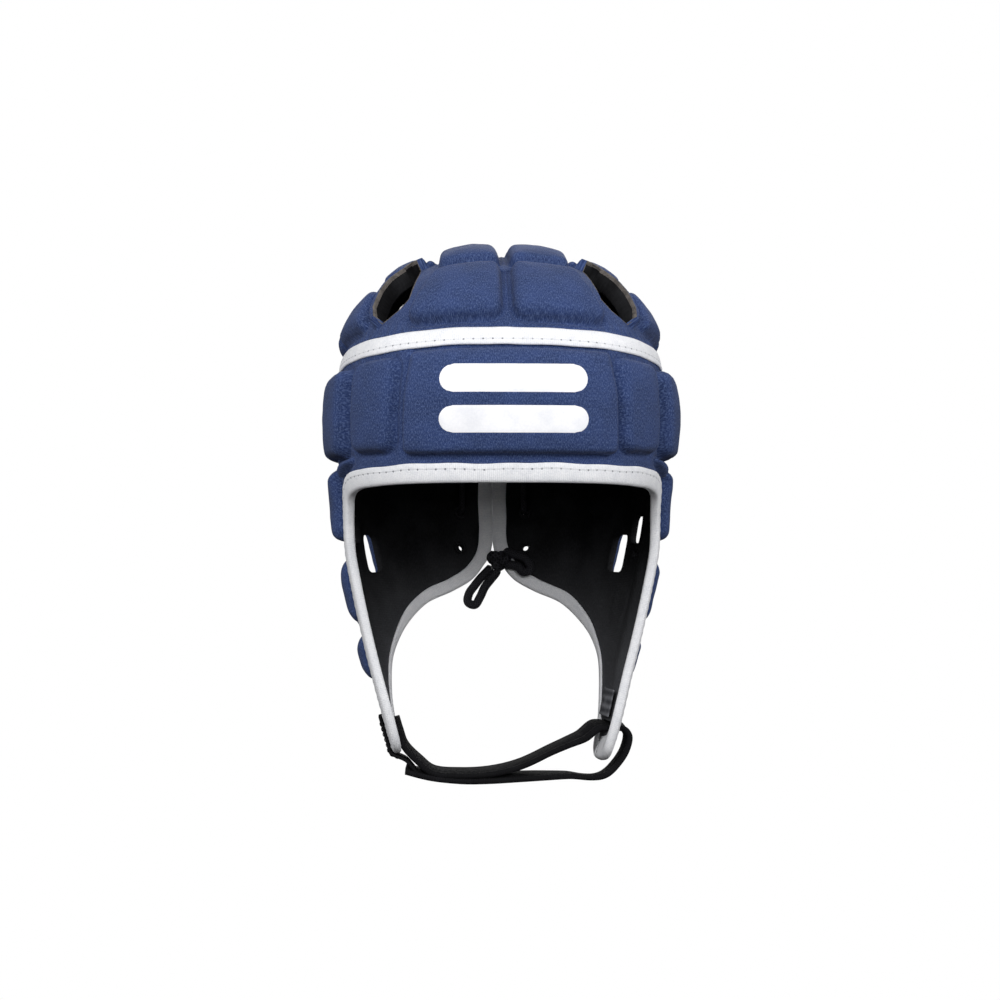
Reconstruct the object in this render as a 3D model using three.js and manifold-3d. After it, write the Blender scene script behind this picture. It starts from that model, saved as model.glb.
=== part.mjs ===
// Rugby scrum cap: a soft padded cap with ear flaps, a laced back slit and a chin strap.
// Millimetres, +Z up, the face opening towards -Y. The origin is the inside of the crown,
// where the cap rests on the head.
import * as THREE from "three";
import Module from "manifold-3d";

const wasm = await Module();
wasm.setup();

// Head form: the surface that the lining lies on, a rounded dome over a tapering jaw
const HALF_WIDTH = 80.5;
const FRONT_REACH = 97;
const BACK_REACH = 100;
const DOME_HEIGHT = 82;
const CAP_DEPTH = 250;
const ROUNDNESS = 2.35;
const JAW_TAPER = 0.4;
const JAW_POWER = 1.6;
const NAPE_TAPER = 0.42;
const NAPE_POWER = 1.8;

// Layers, from the head outwards
const LINING_THICK = 1.0;
const PANEL_THICK = 3.0;
const PAD_RELIEF = 7.0;
const PAD_CROWN = 0.7;
const PAD_ROOT = 0.8;
const TAPE_THICK = 1.0;
const LAYER_GAP = 0.3;
const FACET_SLACK = 1.0;
const LEG_SLACK = 0.5;

// Seam between crown and wall, and the two edges of the wall
const SEAM_DEPTH = 54;
const SEAM_TILT = 12;
const SEAM_GAP = 0.5;
const TAPE_WIDTH = 10;
const BINDING_LEG = 8.5;
const BROW_DEPTH = 111;
const BROW_DROP = 5;
const FLAP_FRONT_TOP = 28;
const FLAP_FRONT_LOW = 21;
const FLAP_REAR_LOW = 19;
const CORNER_REACH = 22;
const NAPE_DEPTH = 176;
const SLIT_WIDTH = 4.2;
const SLIT_TOP_DEPTH = 80;
const SLIT_FOOT_DEPTH = 146;

// Pad edges
const PAD_CORNER = 6;
const PAD_SHOULDER = 2.8;
const PAD_CHORD = 60;
const FOREHEAD_CHORD = 36;

// Chin strap
const STRAP_WIDTH = 19.4;
const STRAP_THICK = 2.2;
const STRAP_Y = -0.6;
const STRAP_DROP = 10;
const STRAP_PLY_GAP = 1.4;
const HOOK_THICK = 0.8;
const HOOK_LENGTH = 36;
const TAB_THICK = 1.6;
const TAB_LENGTH = 22;
const SLOT_CLEARANCE = 0.9;
const PATCH_THICK = 1.0;
const PATCH_HEIGHT = 12;
const RIDGE_HEIGHT = 0.7;

// Back lace
const LACE_DIAMETER = 3;
const LACE_SIDES = 6;
const LACE_STEPS = 34;
const LOOP_STEPS = 10;
const EYELET_BORE = 6.4;
const EYELET_RIM = 1.8;
const EYELET_SIDES = 6;
const EYELET_THICK = 1.0;
const EYELET_OFFSET = 18;
const EYELET_PITCH = 19.5;
const EYELET_LOW_DEPTH = 147.5;
const KNOT_RADIUS = 4.2;
const KNOT_DEPTH = 159.5;
const KNOT_LIFT = -0.6;

// Mesh fineness
const COLUMNS = 26;
const CROWN_ROWS = 5;
const WALL_ROWS = 7;
const ROW_SPREAD = 1.12;
const EDGE_SAMPLES = 240;
const EDGE_CHORD = 23;
const EDGE_TURN = 25;

const outerFace = LINING_THICK + LAYER_GAP + PANEL_THICK;
const panelInner = LINING_THICK + LAYER_GAP;
const tapeFoot = outerFace + LAYER_GAP;
const tapeTop = tapeFoot + TAPE_THICK;
const bindingInner = -(LAYER_GAP + FACET_SLACK);
const legFoot = tapeFoot + LEG_SLACK;
const legTop = legFoot + TAPE_THICK;
const widestZ = -DOME_HEIGHT;
const jawSpan = CAP_DEPTH - DOME_HEIGHT;
const TURN = 2 * Math.PI;
const rad = THREE.MathUtils.degToRad;
const lerp = THREE.MathUtils.lerp;

// Half-width, front reach, back reach and their slopes at a height of the form
function reachAt(z) {
  const depth = Math.max(0, widestZ - z) / jawSpan;
  const jaw = JAW_TAPER * depth ** JAW_POWER;
  const nape = NAPE_TAPER * depth ** NAPE_POWER;
  const jawSlope = depth ? (JAW_POWER * jaw) / depth / jawSpan : 0;
  const napeSlope = depth ? (NAPE_POWER * nape) / depth / jawSpan : 0;
  return {
    side: HALF_WIDTH * (1 - jaw),
    sideSlope: HALF_WIDTH * jawSlope,
    front: FRONT_REACH * (1 - jaw),
    frontSlope: FRONT_REACH * jawSlope,
    back: BACK_REACH * (1 - nape),
    backSlope: BACK_REACH * napeSlope,
  };
}

// Point of the form at an azimuth (0 at the face, 90 at the wearer's left) and a height
function wallPoint(azimuth, z) {
  const reach = reachAt(z);
  const lengthwise = Math.cos(azimuth) > 0 ? reach.front : reach.back;
  const rise = Math.min(1, Math.max(0, z - widestZ) / DOME_HEIGHT);
  const narrowing = Math.max(0, 1 - rise ** ROUNDNESS) ** (1 / ROUNDNESS);
  const across = Math.abs(Math.sin(azimuth) / reach.side) ** ROUNDNESS;
  const along = Math.abs(Math.cos(azimuth) / lengthwise) ** ROUNDNESS;
  const radius = narrowing * (across + along) ** (-1 / ROUNDNESS);
  return new THREE.Vector3(radius * Math.sin(azimuth), -radius * Math.cos(azimuth), z);
}

// Meridian angle: 0 at the crown, a quarter turn at the widest level
function angleOfHeight(z) {
  return Math.acos(Math.min(1, Math.max(0, z - widestZ) / DOME_HEIGHT) ** (ROUNDNESS / 2));
}

function heightOfAngle(angle) {
  return widestZ + DOME_HEIGHT * Math.cos(angle) ** (2 / ROUNDNESS);
}

function normalAt(p) {
  const reach = reachAt(p.z);
  const lengthwise = p.y < 0 ? reach.front : reach.back;
  const lengthSlope = p.y < 0 ? reach.frontSlope : reach.backSlope;
  const bend = (value, size) => (Math.sign(value) * Math.abs(value / size) ** (ROUNDNESS - 1)) / size;
  const nx = bend(p.x, reach.side);
  const ny = bend(p.y, lengthwise);
  const dome = bend(Math.max(0, p.z - widestZ), DOME_HEIGHT);
  const taper = (nx * p.x * reach.sideSlope) / reach.side + (ny * p.y * lengthSlope) / lengthwise;
  return new THREE.Vector3(nx, ny, dome - taper).normalize();
}

function lift(foot, height) {
  return foot.clone().addScaledVector(normalAt(foot), height);
}

// Charts: each turns two table values into a point of the form
function seamHeight(azimuth) {
  return -SEAM_DEPTH + SEAM_TILT * Math.cos(azimuth);
}

// Crown columns: x as a share of the half width, q from -1 at the front tape to 1 at the back
function columnPoint(share, q) {
  const x = share * HALF_WIDTH;
  let y = q < 0 ? -FRONT_REACH : BACK_REACH;
  const lengthwise = Math.abs(y);
  for (let pass = 0; pass < 12; pass += 1) {
    const top = seamHeight(Math.atan2(x, -y)) + TAPE_WIDTH / 2;
    const left = 1 - Math.abs(share) ** ROUNDNESS - ((top - widestZ) / DOME_HEIGHT) ** ROUNDNESS;
    y = Math.sign(y) * lengthwise * Math.max(0, left) ** (1 / ROUNDNESS);
  }
  y *= Math.abs(q);
  const rise = 1 - Math.abs(share) ** ROUNDNESS - Math.abs(y / lengthwise) ** ROUNDNESS;
  return new THREE.Vector3(x, y, widestZ + DOME_HEIGHT * Math.max(0, rise) ** (1 / ROUNDNESS));
}

// Crown sides: azimuth in degrees, and a share of the way from the crown to the tape
function sidePoint(degrees, share) {
  const azimuth = rad(degrees);
  const edge = angleOfHeight(seamHeight(azimuth) + TAPE_WIDTH / 2);
  return wallPoint(azimuth, heightOfAngle(edge * share));
}

// Wall: azimuth in degrees; level 0 at the tape, 1 at the brow, 2 at the flap tips
function wallLevel(azimuth, level) {
  const top = seamHeight(azimuth) - TAPE_WIDTH / 2;
  if (level <= 1) return lerp(top, -BROW_DEPTH, level);
  return lerp(-BROW_DEPTH, -CAP_DEPTH, level - 1);
}

function wallChart(degrees, level) {
  return wallPoint(rad(degrees), wallLevel(rad(degrees), level));
}

// Flaps: y in millimetres and a height, on the wearer's left flap
function azimuthAt(y, z) {
  const reach = reachAt(z);
  const lengthwise = y < 0 ? reach.front : reach.back;
  const across = Math.max(0, 1 - Math.abs(y / lengthwise) ** ROUNDNESS) ** (1 / ROUNDNESS);
  return Math.atan2(reach.side * across, -y);
}

// Closed meshes and solids
function signedVolume(points, triangles) {
  let sum = 0;
  for (const [a, b, c] of triangles) sum += points[a].dot(points[b].clone().cross(points[c]));
  return sum / 6;
}

function solidOf(points, triangles) {
  const outward = signedVolume(points, triangles) > 0;
  const faces = outward ? triangles : triangles.map(([a, b, c]) => [a, c, b]);
  const mesh = new wasm.Mesh({
    numProp: 3,
    vertProperties: new Float32Array(points.flatMap((p) => [p.x, p.y, p.z])),
    triVerts: new Uint32Array(faces.flat()),
  });
  return new wasm.Manifold(mesh);
}

// Skin between rings of equal length; a closed run joins its last ring to its first. flips says
// which quads, by ring and place, are split along their other diagonal
function skinOf(rings, closedRun, flips) {
  const size = rings[0].length;
  const triangles = [];
  const runs = closedRun ? rings.length : rings.length - 1;
  for (let r = 0; r < runs; r += 1) {
    const low = r * size;
    const high = ((r + 1) % rings.length) * size;
    for (let i = 0; i < size; i += 1) {
      const next = (i + 1) % size;
      if (flips(r, i)) triangles.push([low + i, low + next, high + i], [low + next, high + next, high + i]);
      else triangles.push([low + i, low + next, high + next], [low + i, high + next, high + i]);
    }
  }
  return triangles;
}

const never = () => false;

// Faces that fill a flat outline, wound as the outline runs
function capFaces(outline) {
  const flat = outline.map(([u, v]) => new THREE.Vector2(u, v));
  const turn = Math.sign(THREE.ShapeUtils.area(flat));
  return THREE.ShapeUtils.triangulateShape(flat, []).map(([a, b, c]) => {
    const agrees = Math.sign(THREE.ShapeUtils.area([flat[a], flat[b], flat[c]])) === turn;
    return agrees ? [a, b, c] : [a, c, b];
  });
}

// Solid through open rings that all follow one flat outline, capped at both ends
function sweptSolid(rings, outline) {
  const last = (rings.length - 1) * rings[0].length;
  const triangles = skinOf(rings, false, never);
  for (const [a, b, c] of capFaces(outline)) triangles.push([a, c, b], [last + a, last + b, last + c]);
  return solidOf(rings.flat(), triangles);
}

function ringSolid(rings, flips = never) {
  return solidOf(rings.flat(), skinOf(rings, true, flips));
}

// Closed skin from one pole through rings of equal length to another
function poledSolid(rings, start, end, flips = never) {
  const size = rings[0].length;
  const last = (rings.length - 1) * size;
  const points = [...rings.flat(), start, end];
  const triangles = skinOf(rings, false, flips);
  for (let i = 0; i < size; i += 1) {
    const next = (i + 1) % size;
    triangles.push([next, i, points.length - 2], [last + i, last + next, points.length - 1]);
  }
  return solidOf(points, triangles);
}

// Plate over a chart outline, from one height of the form to another
function chartPlate(outline, chart, low, high) {
  const feet = outline.map(([u, v]) => chart(u, v));
  return sweptSolid([feet.map((p) => lift(p, low)), feet.map((p) => lift(p, high))], outline);
}

function union(solids) {
  return solids.reduce((whole, solid) => whole.add(solid));
}

// The piece of a cut shell that reaches highest
function topPiece(solid) {
  const pieces = solid.decompose();
  return pieces.reduce((best, piece) => (piece.boundingBox().max[2] > best.boundingBox().max[2] ? piece : best));
}

function largestPiece(solid) {
  return solid.decompose().reduce((best, piece) => (piece.volume() > best.volume() ? piece : best));
}

// Shells of the form: a domed crown, and a wall open above and below
function crownShell(low, high, edgeOf) {
  const apex = new THREE.Vector3(0, 0, 0);
  const ringAt = (row, height) => {
    const ring = [];
    for (let column = 0; column < COLUMNS; column += 1) {
      const azimuth = (column / COLUMNS) * TURN;
      const edge = angleOfHeight(edgeOf(azimuth));
      ring.push(lift(wallPoint(azimuth, heightOfAngle((edge * row) / CROWN_ROWS)), height));
    }
    return ring;
  };
  const rings = [];
  for (let row = 1; row <= CROWN_ROWS; row += 1) rings.push(ringAt(row, high));
  for (let row = CROWN_ROWS; row >= 1; row -= 1) rings.push(ringAt(row, low));
  const flips = (r, i) => (r >= CROWN_ROWS) !== (i >= COLUMNS / 2);
  return poledSolid(rings, lift(apex, high), lift(apex, low), flips);
}

function wallShell(low, high) {
  const bottom = -CAP_DEPTH - STRAP_DROP;
  const rings = [];
  for (let column = 0; column < COLUMNS; column += 1) {
    const azimuth = (column / COLUMNS) * TURN;
    const top = seamHeight(azimuth) - SEAM_GAP / 2;
    const feet = [];
    for (let row = 0; row <= WALL_ROWS; row += 1) {
      feet.push(wallPoint(azimuth, lerp(top, bottom, (row / WALL_ROWS) ** ROW_SPREAD)));
    }
    rings.push([...feet.map((foot) => lift(foot, high)), ...feet.reverse().map((foot) => lift(foot, low))]);
  }
  return ringSolid(rings, (r, i) => (i > WALL_ROWS) !== (r >= COLUMNS / 2));
}

// Pads: a rounded quad on a chart, with sloping sides and a pillowed top
function quadSpot(corners, chart) {
  const [a, b, c, d] = corners;
  return (u, v) => {
    const top = [lerp(a[0], b[0], u), lerp(a[1], b[1], u)];
    const foot = [lerp(d[0], c[0], u), lerp(d[1], c[1], u)];
    return chart(lerp(top[0], foot[0], v), lerp(top[1], foot[1], v));
  };
}

// Shares (u, v) round a rectangle with cut corners, with long sides split into short chords
function padOutline(wide, tall, inset, chord) {
  const corner = Math.min(PAD_CORNER, wide / 2.6, tall / 2.6) - inset * 0.5;
  const across = Math.floor(wide / chord) + 1;
  const down = Math.floor(tall / chord) + 1;
  const left = inset / wide;
  const top = inset / tall;
  const u0 = left + corner / wide;
  const v0 = top + corner / tall;
  const steps = (count, from, to) => Array.from({ length: count + 1 }, (_, i) => lerp(from, to, i / count));
  return [
    ...steps(across, u0, 1 - u0).map((u) => [u, top]),
    ...steps(down, v0, 1 - v0).map((v) => [1 - left, v]),
    ...steps(across, 1 - u0, u0).map((u) => [u, 1 - top]),
    ...steps(down, 1 - v0, v0).map((v) => [left, v]),
  ];
}

function padSolid(corners, chart, relief, chord = PAD_CHORD) {
  const spot = quadSpot(corners, chart);
  const wide = spot(0, 0.5).distanceTo(spot(1, 0.5));
  const tall = spot(0.5, 0).distanceTo(spot(0.5, 1));
  const top = outerFace + relief;
  const root = outerFace - PAD_ROOT;
  const ringAt = (inset, shrink, height) => padOutline(wide, tall, inset, chord).map(([u, v]) => {
    return lift(spot(0.5 + (u - 0.5) * shrink, 0.5 + (v - 0.5) * shrink), height);
  });
  const innerShares = Math.max(wide, tall) > chord * 2.4 ? [0.5] : [];
  const rings = [
    ...innerShares.map((share) => ringAt(0, share, root)),
    ringAt(0, 1, root),
    ringAt(PAD_SHOULDER, 1, top - PAD_CROWN),
    ...innerShares.map((share) => ringAt(PAD_SHOULDER, share, top - PAD_CROWN * share ** 2)),
  ];
  return poledSolid(rings, lift(spot(0.5, 0.5), root), lift(spot(0.5, 0.5), top));
}

// Crown pads in two centre columns: x shares at the front and rear ends, q of both ends
const columnPads = [
  { name: "brow", xIn: 0.03, xFront: 0.54, xRear: 0.395, qFront: -0.965, qRear: -0.625 },
  { name: "fore", xIn: 0.03, xFront: 0.375, xRear: 0.375, qFront: -0.575, qRear: -0.105 },
  { name: "top", xIn: 0.03, xFront: 0.375, xRear: 0.375, qFront: -0.05, qRear: 0.32 },
  { name: "rear", xIn: 0.03, xFront: 0.375, xRear: 0.375, qFront: 0.365, qRear: 0.635 },
  { name: "back", xIn: 0.03, xFront: 0.385, xRear: 0.54, qFront: 0.68, qRear: 0.96 },
];

// Shoulder pads beside the vents: corners as x share and q, front ones only
const shoulderPad = [[0.52, -0.44], [0.69, -0.4], [0.69, -0.03], [0.43, -0.03]];

// Side pads of the crown: azimuth and crown share of the four corners
const sidePads = [
  { name: "front", corners: [[66, 0.66], [88.5, 0.66], [88.5, 0.96], [53, 0.96]] },
  { name: "rear", corners: [[91.5, 0.66], [114, 0.66], [127, 0.96], [91.5, 0.96]] },
];

// Wall pads: azimuths and levels of the four sides, relief as a share, slant of the front side
const wallPads = [
  { name: "temple", from: 33.5, to: 52, top: 0.1, low: 0.76, relief: 0.8, slant: 2 },
  { name: "side_front", from: 55.5, to: 83, top: 0.07, low: 0.8, relief: 1.1, slant: 2 },
  { name: "side_rear", from: 86.5, to: 116, top: 0.07, low: 0.8, relief: 1.1, slant: 0 },
  { name: "back_side", from: 119.5, to: 143, top: 0.07, low: 0.92, relief: 1, slant: 0 },
  { name: "back", from: 146.5, to: 166, top: 0.08, low: 0.92, relief: 1, slant: 0 },
  { name: "ear_front", from: 74, to: 96, top: 0.89, low: 1.22, relief: 1, slant: 3 },
  { name: "ear_top", from: 99, to: 120, top: 0.89, low: 1.07, relief: 0.8, slant: 0 },
  { name: "nape_side", from: 128, to: 147, top: 1.04, low: 1.38, relief: 0.9, slant: 0 },
  { name: "nape", from: 150, to: 163, top: 1.04, low: 1.3, relief: 0.9, slant: 0 },
  { name: "flap_upper", from: 77, to: 99, top: 1.29, low: 1.52, relief: 0.72, slant: 2 },
  { name: "flap_lower", from: 79, to: 100, top: 1.57, low: 1.73, relief: 0.72, slant: 2 },
  { name: "flap_rear", from: 105, to: 124, top: 1.41, low: 1.56, relief: 0.72, slant: 3 },
];
const foreheadPad = { half: 31, top: 0.09, low: 0.8, relief: 0.85 };
const cornerPad = { corners: [[53, 0.81], [65, 0.82], [69, 1], [60, 0.9]], relief: 0.6 };

// Front vent: x share and q round its outline; the rear vent mirrors it
const ventOutline = [
  [0.715, -0.93], [0.62, -0.87], [0.562, -0.8], [0.528, -0.62], [0.503, -0.47], [0.488, -0.29],
  [0.52, -0.28], [0.56, -0.42], [0.635, -0.475], [0.685, -0.62], [0.722, -0.82],
];

// Ear windows: y and depth spans in millimetres
const earWindows = [
  { y0: 15, y1: 36, top: 129, low: 144, corner: 4 },
  { y0: 40, y1: 56, top: 139, low: 160, corner: 0 },
  { y0: 19, y1: 27, top: 147.5, low: 151.5, corner: 0 },
];

function mirrored(corners) {
  return corners.map(([u, v]) => [-u, v]);
}

function crownPadSolids() {
  const solids = [];
  for (const pad of columnPads) {
    const corners = [[pad.xIn, pad.qFront], [pad.xFront, pad.qFront], [pad.xRear, pad.qRear], [pad.xIn, pad.qRear]];
    for (const quad of [corners, mirrored(corners)]) solids.push(padSolid(quad, columnPoint, PAD_RELIEF));
  }
  const rearShoulder = shoulderPad.map(([x, q]) => [x, -q]);
  for (const corners of [shoulderPad, rearShoulder]) {
    for (const quad of [corners, mirrored(corners)]) solids.push(padSolid(quad, columnPoint, PAD_RELIEF));
  }
  for (const { corners } of sidePads) {
    for (const quad of [corners, mirrored(corners)]) solids.push(padSolid(quad, sidePoint, PAD_RELIEF));
  }
  return solids;
}

function wallPadSolids() {
  const { half, top, low, relief } = foreheadPad;
  const forehead = [[-half, top], [half, top], [half + 1, low], [-half - 1, low]];
  const solids = [padSolid(forehead, wallChart, PAD_RELIEF * relief, FOREHEAD_CHORD)];
  for (const quad of [cornerPad.corners, mirrored(cornerPad.corners)]) {
    solids.push(padSolid(quad, wallChart, PAD_RELIEF * cornerPad.relief));
  }
  for (const pad of wallPads) {
    const corners = [[pad.from, pad.top], [pad.to, pad.top], [pad.to, pad.low], [pad.from + pad.slant, pad.low]];
    for (const quad of [corners, mirrored(corners)]) solids.push(padSolid(quad, wallChart, PAD_RELIEF * pad.relief));
  }
  return solids;
}

// Cutters that pass through every layer
const CUT_IN = -10;
const CUT_OUT = 24;

function ventCutters() {
  const cutters = [];
  for (const side of [1, -1]) {
    for (const end of [1, -1]) {
      const outline = ventOutline.map(([x, q]) => [side * x, end * q]);
      cutters.push(chartPlate(outline, columnPoint, CUT_IN, CUT_OUT));
    }
  }
  return cutters;
}

function cutRectangle(x0, x1, y0, y1, corner) {
  if (!corner) return [[x0, y0], [x1, y0], [x1, y1], [x0, y1]];
  return [
    [x0 + corner, y0], [x1 - corner, y0], [x1, y0 + corner], [x1, y1 - corner],
    [x1 - corner, y1], [x0 + corner, y1], [x0, y1 - corner], [x0, y0 + corner],
  ];
}

function flapChart(side) {
  return (y, z) => wallPoint(side * azimuthAt(y, z), z);
}

function earCutters() {
  const cutters = [];
  for (const side of [1, -1]) {
    for (const window of earWindows) {
      const outline = cutRectangle(window.y0, window.y1, -window.low, -window.top, window.corner);
      cutters.push(chartPlate(outline, flapChart(side), CUT_IN, CUT_OUT));
    }
  }
  return cutters;
}

// Lower edge of the wall as one closed loop of control points, wearer's left half first
function halfEdge() {
  const tip = -CAP_DEPTH;
  const flap = (y, z) => [azimuthAt(y, z), z];
  const nape = (x, z) => {
    const reach = reachAt(z);
    const along = Math.max(0, 1 - Math.abs(x / reach.side) ** ROUNDNESS) ** (1 / ROUNDNESS);
    return [Math.atan2(x, -reach.back * along), z];
  };
  const brow = (share) => [share, -BROW_DEPTH - BROW_DROP * (share / rad(60)) ** 3];
  const cornerY = -FLAP_FRONT_TOP - CORNER_REACH;
  const browEnd = azimuthAt(cornerY, -BROW_DEPTH);
  const flapMiddle = (FLAP_REAR_LOW - FLAP_FRONT_LOW) / 2;
  const frontAt = (share) => lerp(-FLAP_FRONT_TOP, -FLAP_FRONT_LOW, share);
  const flapTop = brow(browEnd)[1];
  return [
    brow(0), brow(rad(14)), brow(rad(28)), brow(rad(42)), brow(browEnd),
    flap(cornerY + CORNER_REACH * 0.62, flapTop - CORNER_REACH * 0.22),
    flap(cornerY + CORNER_REACH * 0.92, flapTop - CORNER_REACH * 0.72),
    flap(frontAt(0.15), flapTop - CORNER_REACH * 1.35),
    flap(frontAt(0.4), lerp(flapTop, tip, 0.4)), flap(frontAt(0.7), lerp(flapTop, tip, 0.65)),
    flap(-FLAP_FRONT_LOW, lerp(flapTop, tip, 0.87)),
    flap(-FLAP_FRONT_LOW * 0.72, tip + 4), flap(flapMiddle, tip),
    flap(FLAP_REAR_LOW * 0.7, tip + 4), flap(FLAP_REAR_LOW, lerp(tip, -NAPE_DEPTH, 0.19)),
    flap(lerp(FLAP_REAR_LOW, 71, 0.22), lerp(tip, -NAPE_DEPTH, 0.4)),
    flap(lerp(FLAP_REAR_LOW, 71, 0.44), lerp(tip, -NAPE_DEPTH, 0.6)),
    flap(lerp(FLAP_REAR_LOW, 71, 0.64), lerp(tip, -NAPE_DEPTH, 0.73)),
    flap(lerp(FLAP_REAR_LOW, 71, 0.85), lerp(tip, -NAPE_DEPTH, 0.85)),
    nape(36, -NAPE_DEPTH), nape(22, -NAPE_DEPTH + 6.5), nape(11.5, -NAPE_DEPTH + 13),
    nape(5.2, lerp(-NAPE_DEPTH + 6.5, -SLIT_FOOT_DEPTH, 0.65)),
    nape(SLIT_WIDTH / 2 + 0.3, -SLIT_FOOT_DEPTH),
    nape(SLIT_WIDTH / 2, lerp(-SLIT_FOOT_DEPTH, -SLIT_TOP_DEPTH, 0.3)),
    nape(SLIT_WIDTH / 2, lerp(-SLIT_FOOT_DEPTH, -SLIT_TOP_DEPTH, 0.65)),
    nape(SLIT_WIDTH / 2, -SLIT_TOP_DEPTH - SLIT_WIDTH),
  ];
}

// Frames along the edge: foot on the form, outward normal, and the way out of the cloth
function edgeFrames() {
  const half = halfEdge();
  const rest = half.slice(1).reverse().map(([azimuth, z]) => [-azimuth, z]);
  const loopPoints = [...half, [Math.PI, -SLIT_TOP_DEPTH], ...rest].map(([azimuth, z]) => wallPoint(azimuth, z));
  const curve = new THREE.CatmullRomCurve3(loopPoints, true, "centripetal");
  curve.arcLengthDivisions = 2000;
  const feet = curve.getSpacedPoints(EDGE_SAMPLES).slice(0, -1).map((p) => wallPoint(Math.atan2(p.x, -p.y), p.z));
  return feet.map((foot, i) => {
    const ahead = feet[(i + 1) % feet.length];
    const behind = feet[(i + feet.length - 1) % feet.length];
    const normal = normalAt(foot);
    const along = ahead.clone().sub(behind).normalize();
    const out = along.clone().cross(normal).normalize();
    return { foot, normal, out, along };
  });
}

// Fewer frames on the straight stretches, the same on both sides
function thinned(all) {
  const middle = all.length / 2;
  const kept = [0];
  for (let i = 1; i <= middle; i += 1) {
    const last = all[kept[kept.length - 1]];
    const turned = THREE.MathUtils.radToDeg(all[i].along.angleTo(last.along));
    const next = all[Math.min(i + 1, middle)];
    const far = next.foot.distanceTo(last.foot) > EDGE_CHORD;
    if (far || turned > EDGE_TURN || i === middle) kept.push(i);
  }
  const rest = kept.slice(1, -1).reverse().map((i) => all.length - i);
  return [...kept, ...rest].map((i) => all[i]);
}

function framePoint(frame, out, height) {
  return frame.foot.clone().addScaledVector(frame.out, out).addScaledVector(frame.normal, height);
}

const edge = thinned(edgeFrames());

function edgeCutters() {
  const width = SLIT_WIDTH * 0.44;
  const levels = [CUT_IN / 8, panelInner, outerFace, outerFace + PAD_RELIEF + 2];
  const section = [...levels.map((height) => [0, height]), [width, levels[3]], [width, levels[0]]];
  return edge.map((frame, i) => {
    const pair = [frame, edge[(i + 1) % edge.length]];
    return sweptSolid(pair.map((f) => section.map(([out, height]) => framePoint(f, out, height))), section);
  });
}

const edgeCutter = union(edgeCutters());

function trimWall(shell) {
  return topPiece(shell.subtract(edgeCutter));
}

// Bindings: a folded tape over the edge, swept along a stretch of the edge loop
const bindingSection = [
  [-BINDING_LEG, legFoot], [-BINDING_LEG, legTop], [LAYER_GAP + TAPE_THICK, legTop],
  [LAYER_GAP + TAPE_THICK, bindingInner - TAPE_THICK], [-BINDING_LEG, bindingInner - TAPE_THICK],
  [-BINDING_LEG, bindingInner], [LAYER_GAP, bindingInner], [LAYER_GAP, legFoot],
];

function bindingSolid(stretch) {
  const rings = stretch.map((frame) => bindingSection.map(([out, height]) => framePoint(frame, out, height)));
  return sweptSolid(rings, bindingSection);
}

// Frame at the tip of one flap, where the two bindings meet
function tipIndex(side) {
  const flap = edge.map((frame, i) => i).filter((i) => edge[i].foot.x * side > 0);
  return flap.reduce((best, i) => (edge[i].foot.z < edge[best].foot.z ? i : best));
}

// Ends of neighbouring bindings stand back from their shared frame by half the layer gap
function shifted(frame, distance) {
  return { ...frame, foot: frame.foot.clone().addScaledVector(frame.along, distance) };
}

function bindings() {
  const left = tipIndex(1);
  const right = tipIndex(-1);
  const face = [...edge.slice(right), ...edge.slice(0, left + 1)];
  const nape = edge.slice(left, right + 1);
  return [face, nape].map((run) => {
    const trimmed = [...run];
    trimmed[0] = shifted(trimmed[0], LAYER_GAP / 2);
    trimmed[trimmed.length - 1] = shifted(trimmed[trimmed.length - 1], -LAYER_GAP / 2);
    return bindingSolid(trimmed);
  });
}

// Tape over the crown seam
function seamTape() {
  const rings = [];
  for (let c = 0; c < COLUMNS; c += 1) {
    const azimuth = (c / COLUMNS) * TURN;
    const foot = wallPoint(azimuth, seamHeight(azimuth));
    const ahead = wallPoint(azimuth + 0.01, seamHeight(azimuth + 0.01));
    const normal = normalAt(foot);
    const down = ahead.sub(foot).normalize().cross(normal);
    const half = TAPE_WIDTH / 2;
    const edges = [[-half, tapeFoot], [-half, tapeTop], [half, tapeTop], [half, tapeFoot]];
    rings.push(edges.map(([out, height]) => {
      const spot = foot.clone().addScaledVector(down, out);
      return lift(wallPoint(Math.atan2(spot.x, -spot.y), spot.z), height);
    }));
  }
  return ringSolid(rings);
}

// Chin strap, drawn in the X Z plane and swept along Y
function flapFace(side, z, height) {
  const foot = wallPoint(side * azimuthAt(STRAP_Y, z), z);
  const point = lift(foot, height);
  return new THREE.Vector3(point.x, STRAP_Y, point.z);
}

const tipZ = -CAP_DEPTH;
const insideHeight = bindingInner - TAPE_THICK - LAYER_GAP - STRAP_THICK / 2;
const lowPly = tipZ - STRAP_DROP - STRAP_THICK - STRAP_PLY_GAP;
const highPly = tipZ - STRAP_DROP;
const slotZ = tipZ + 16.5;

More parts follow.
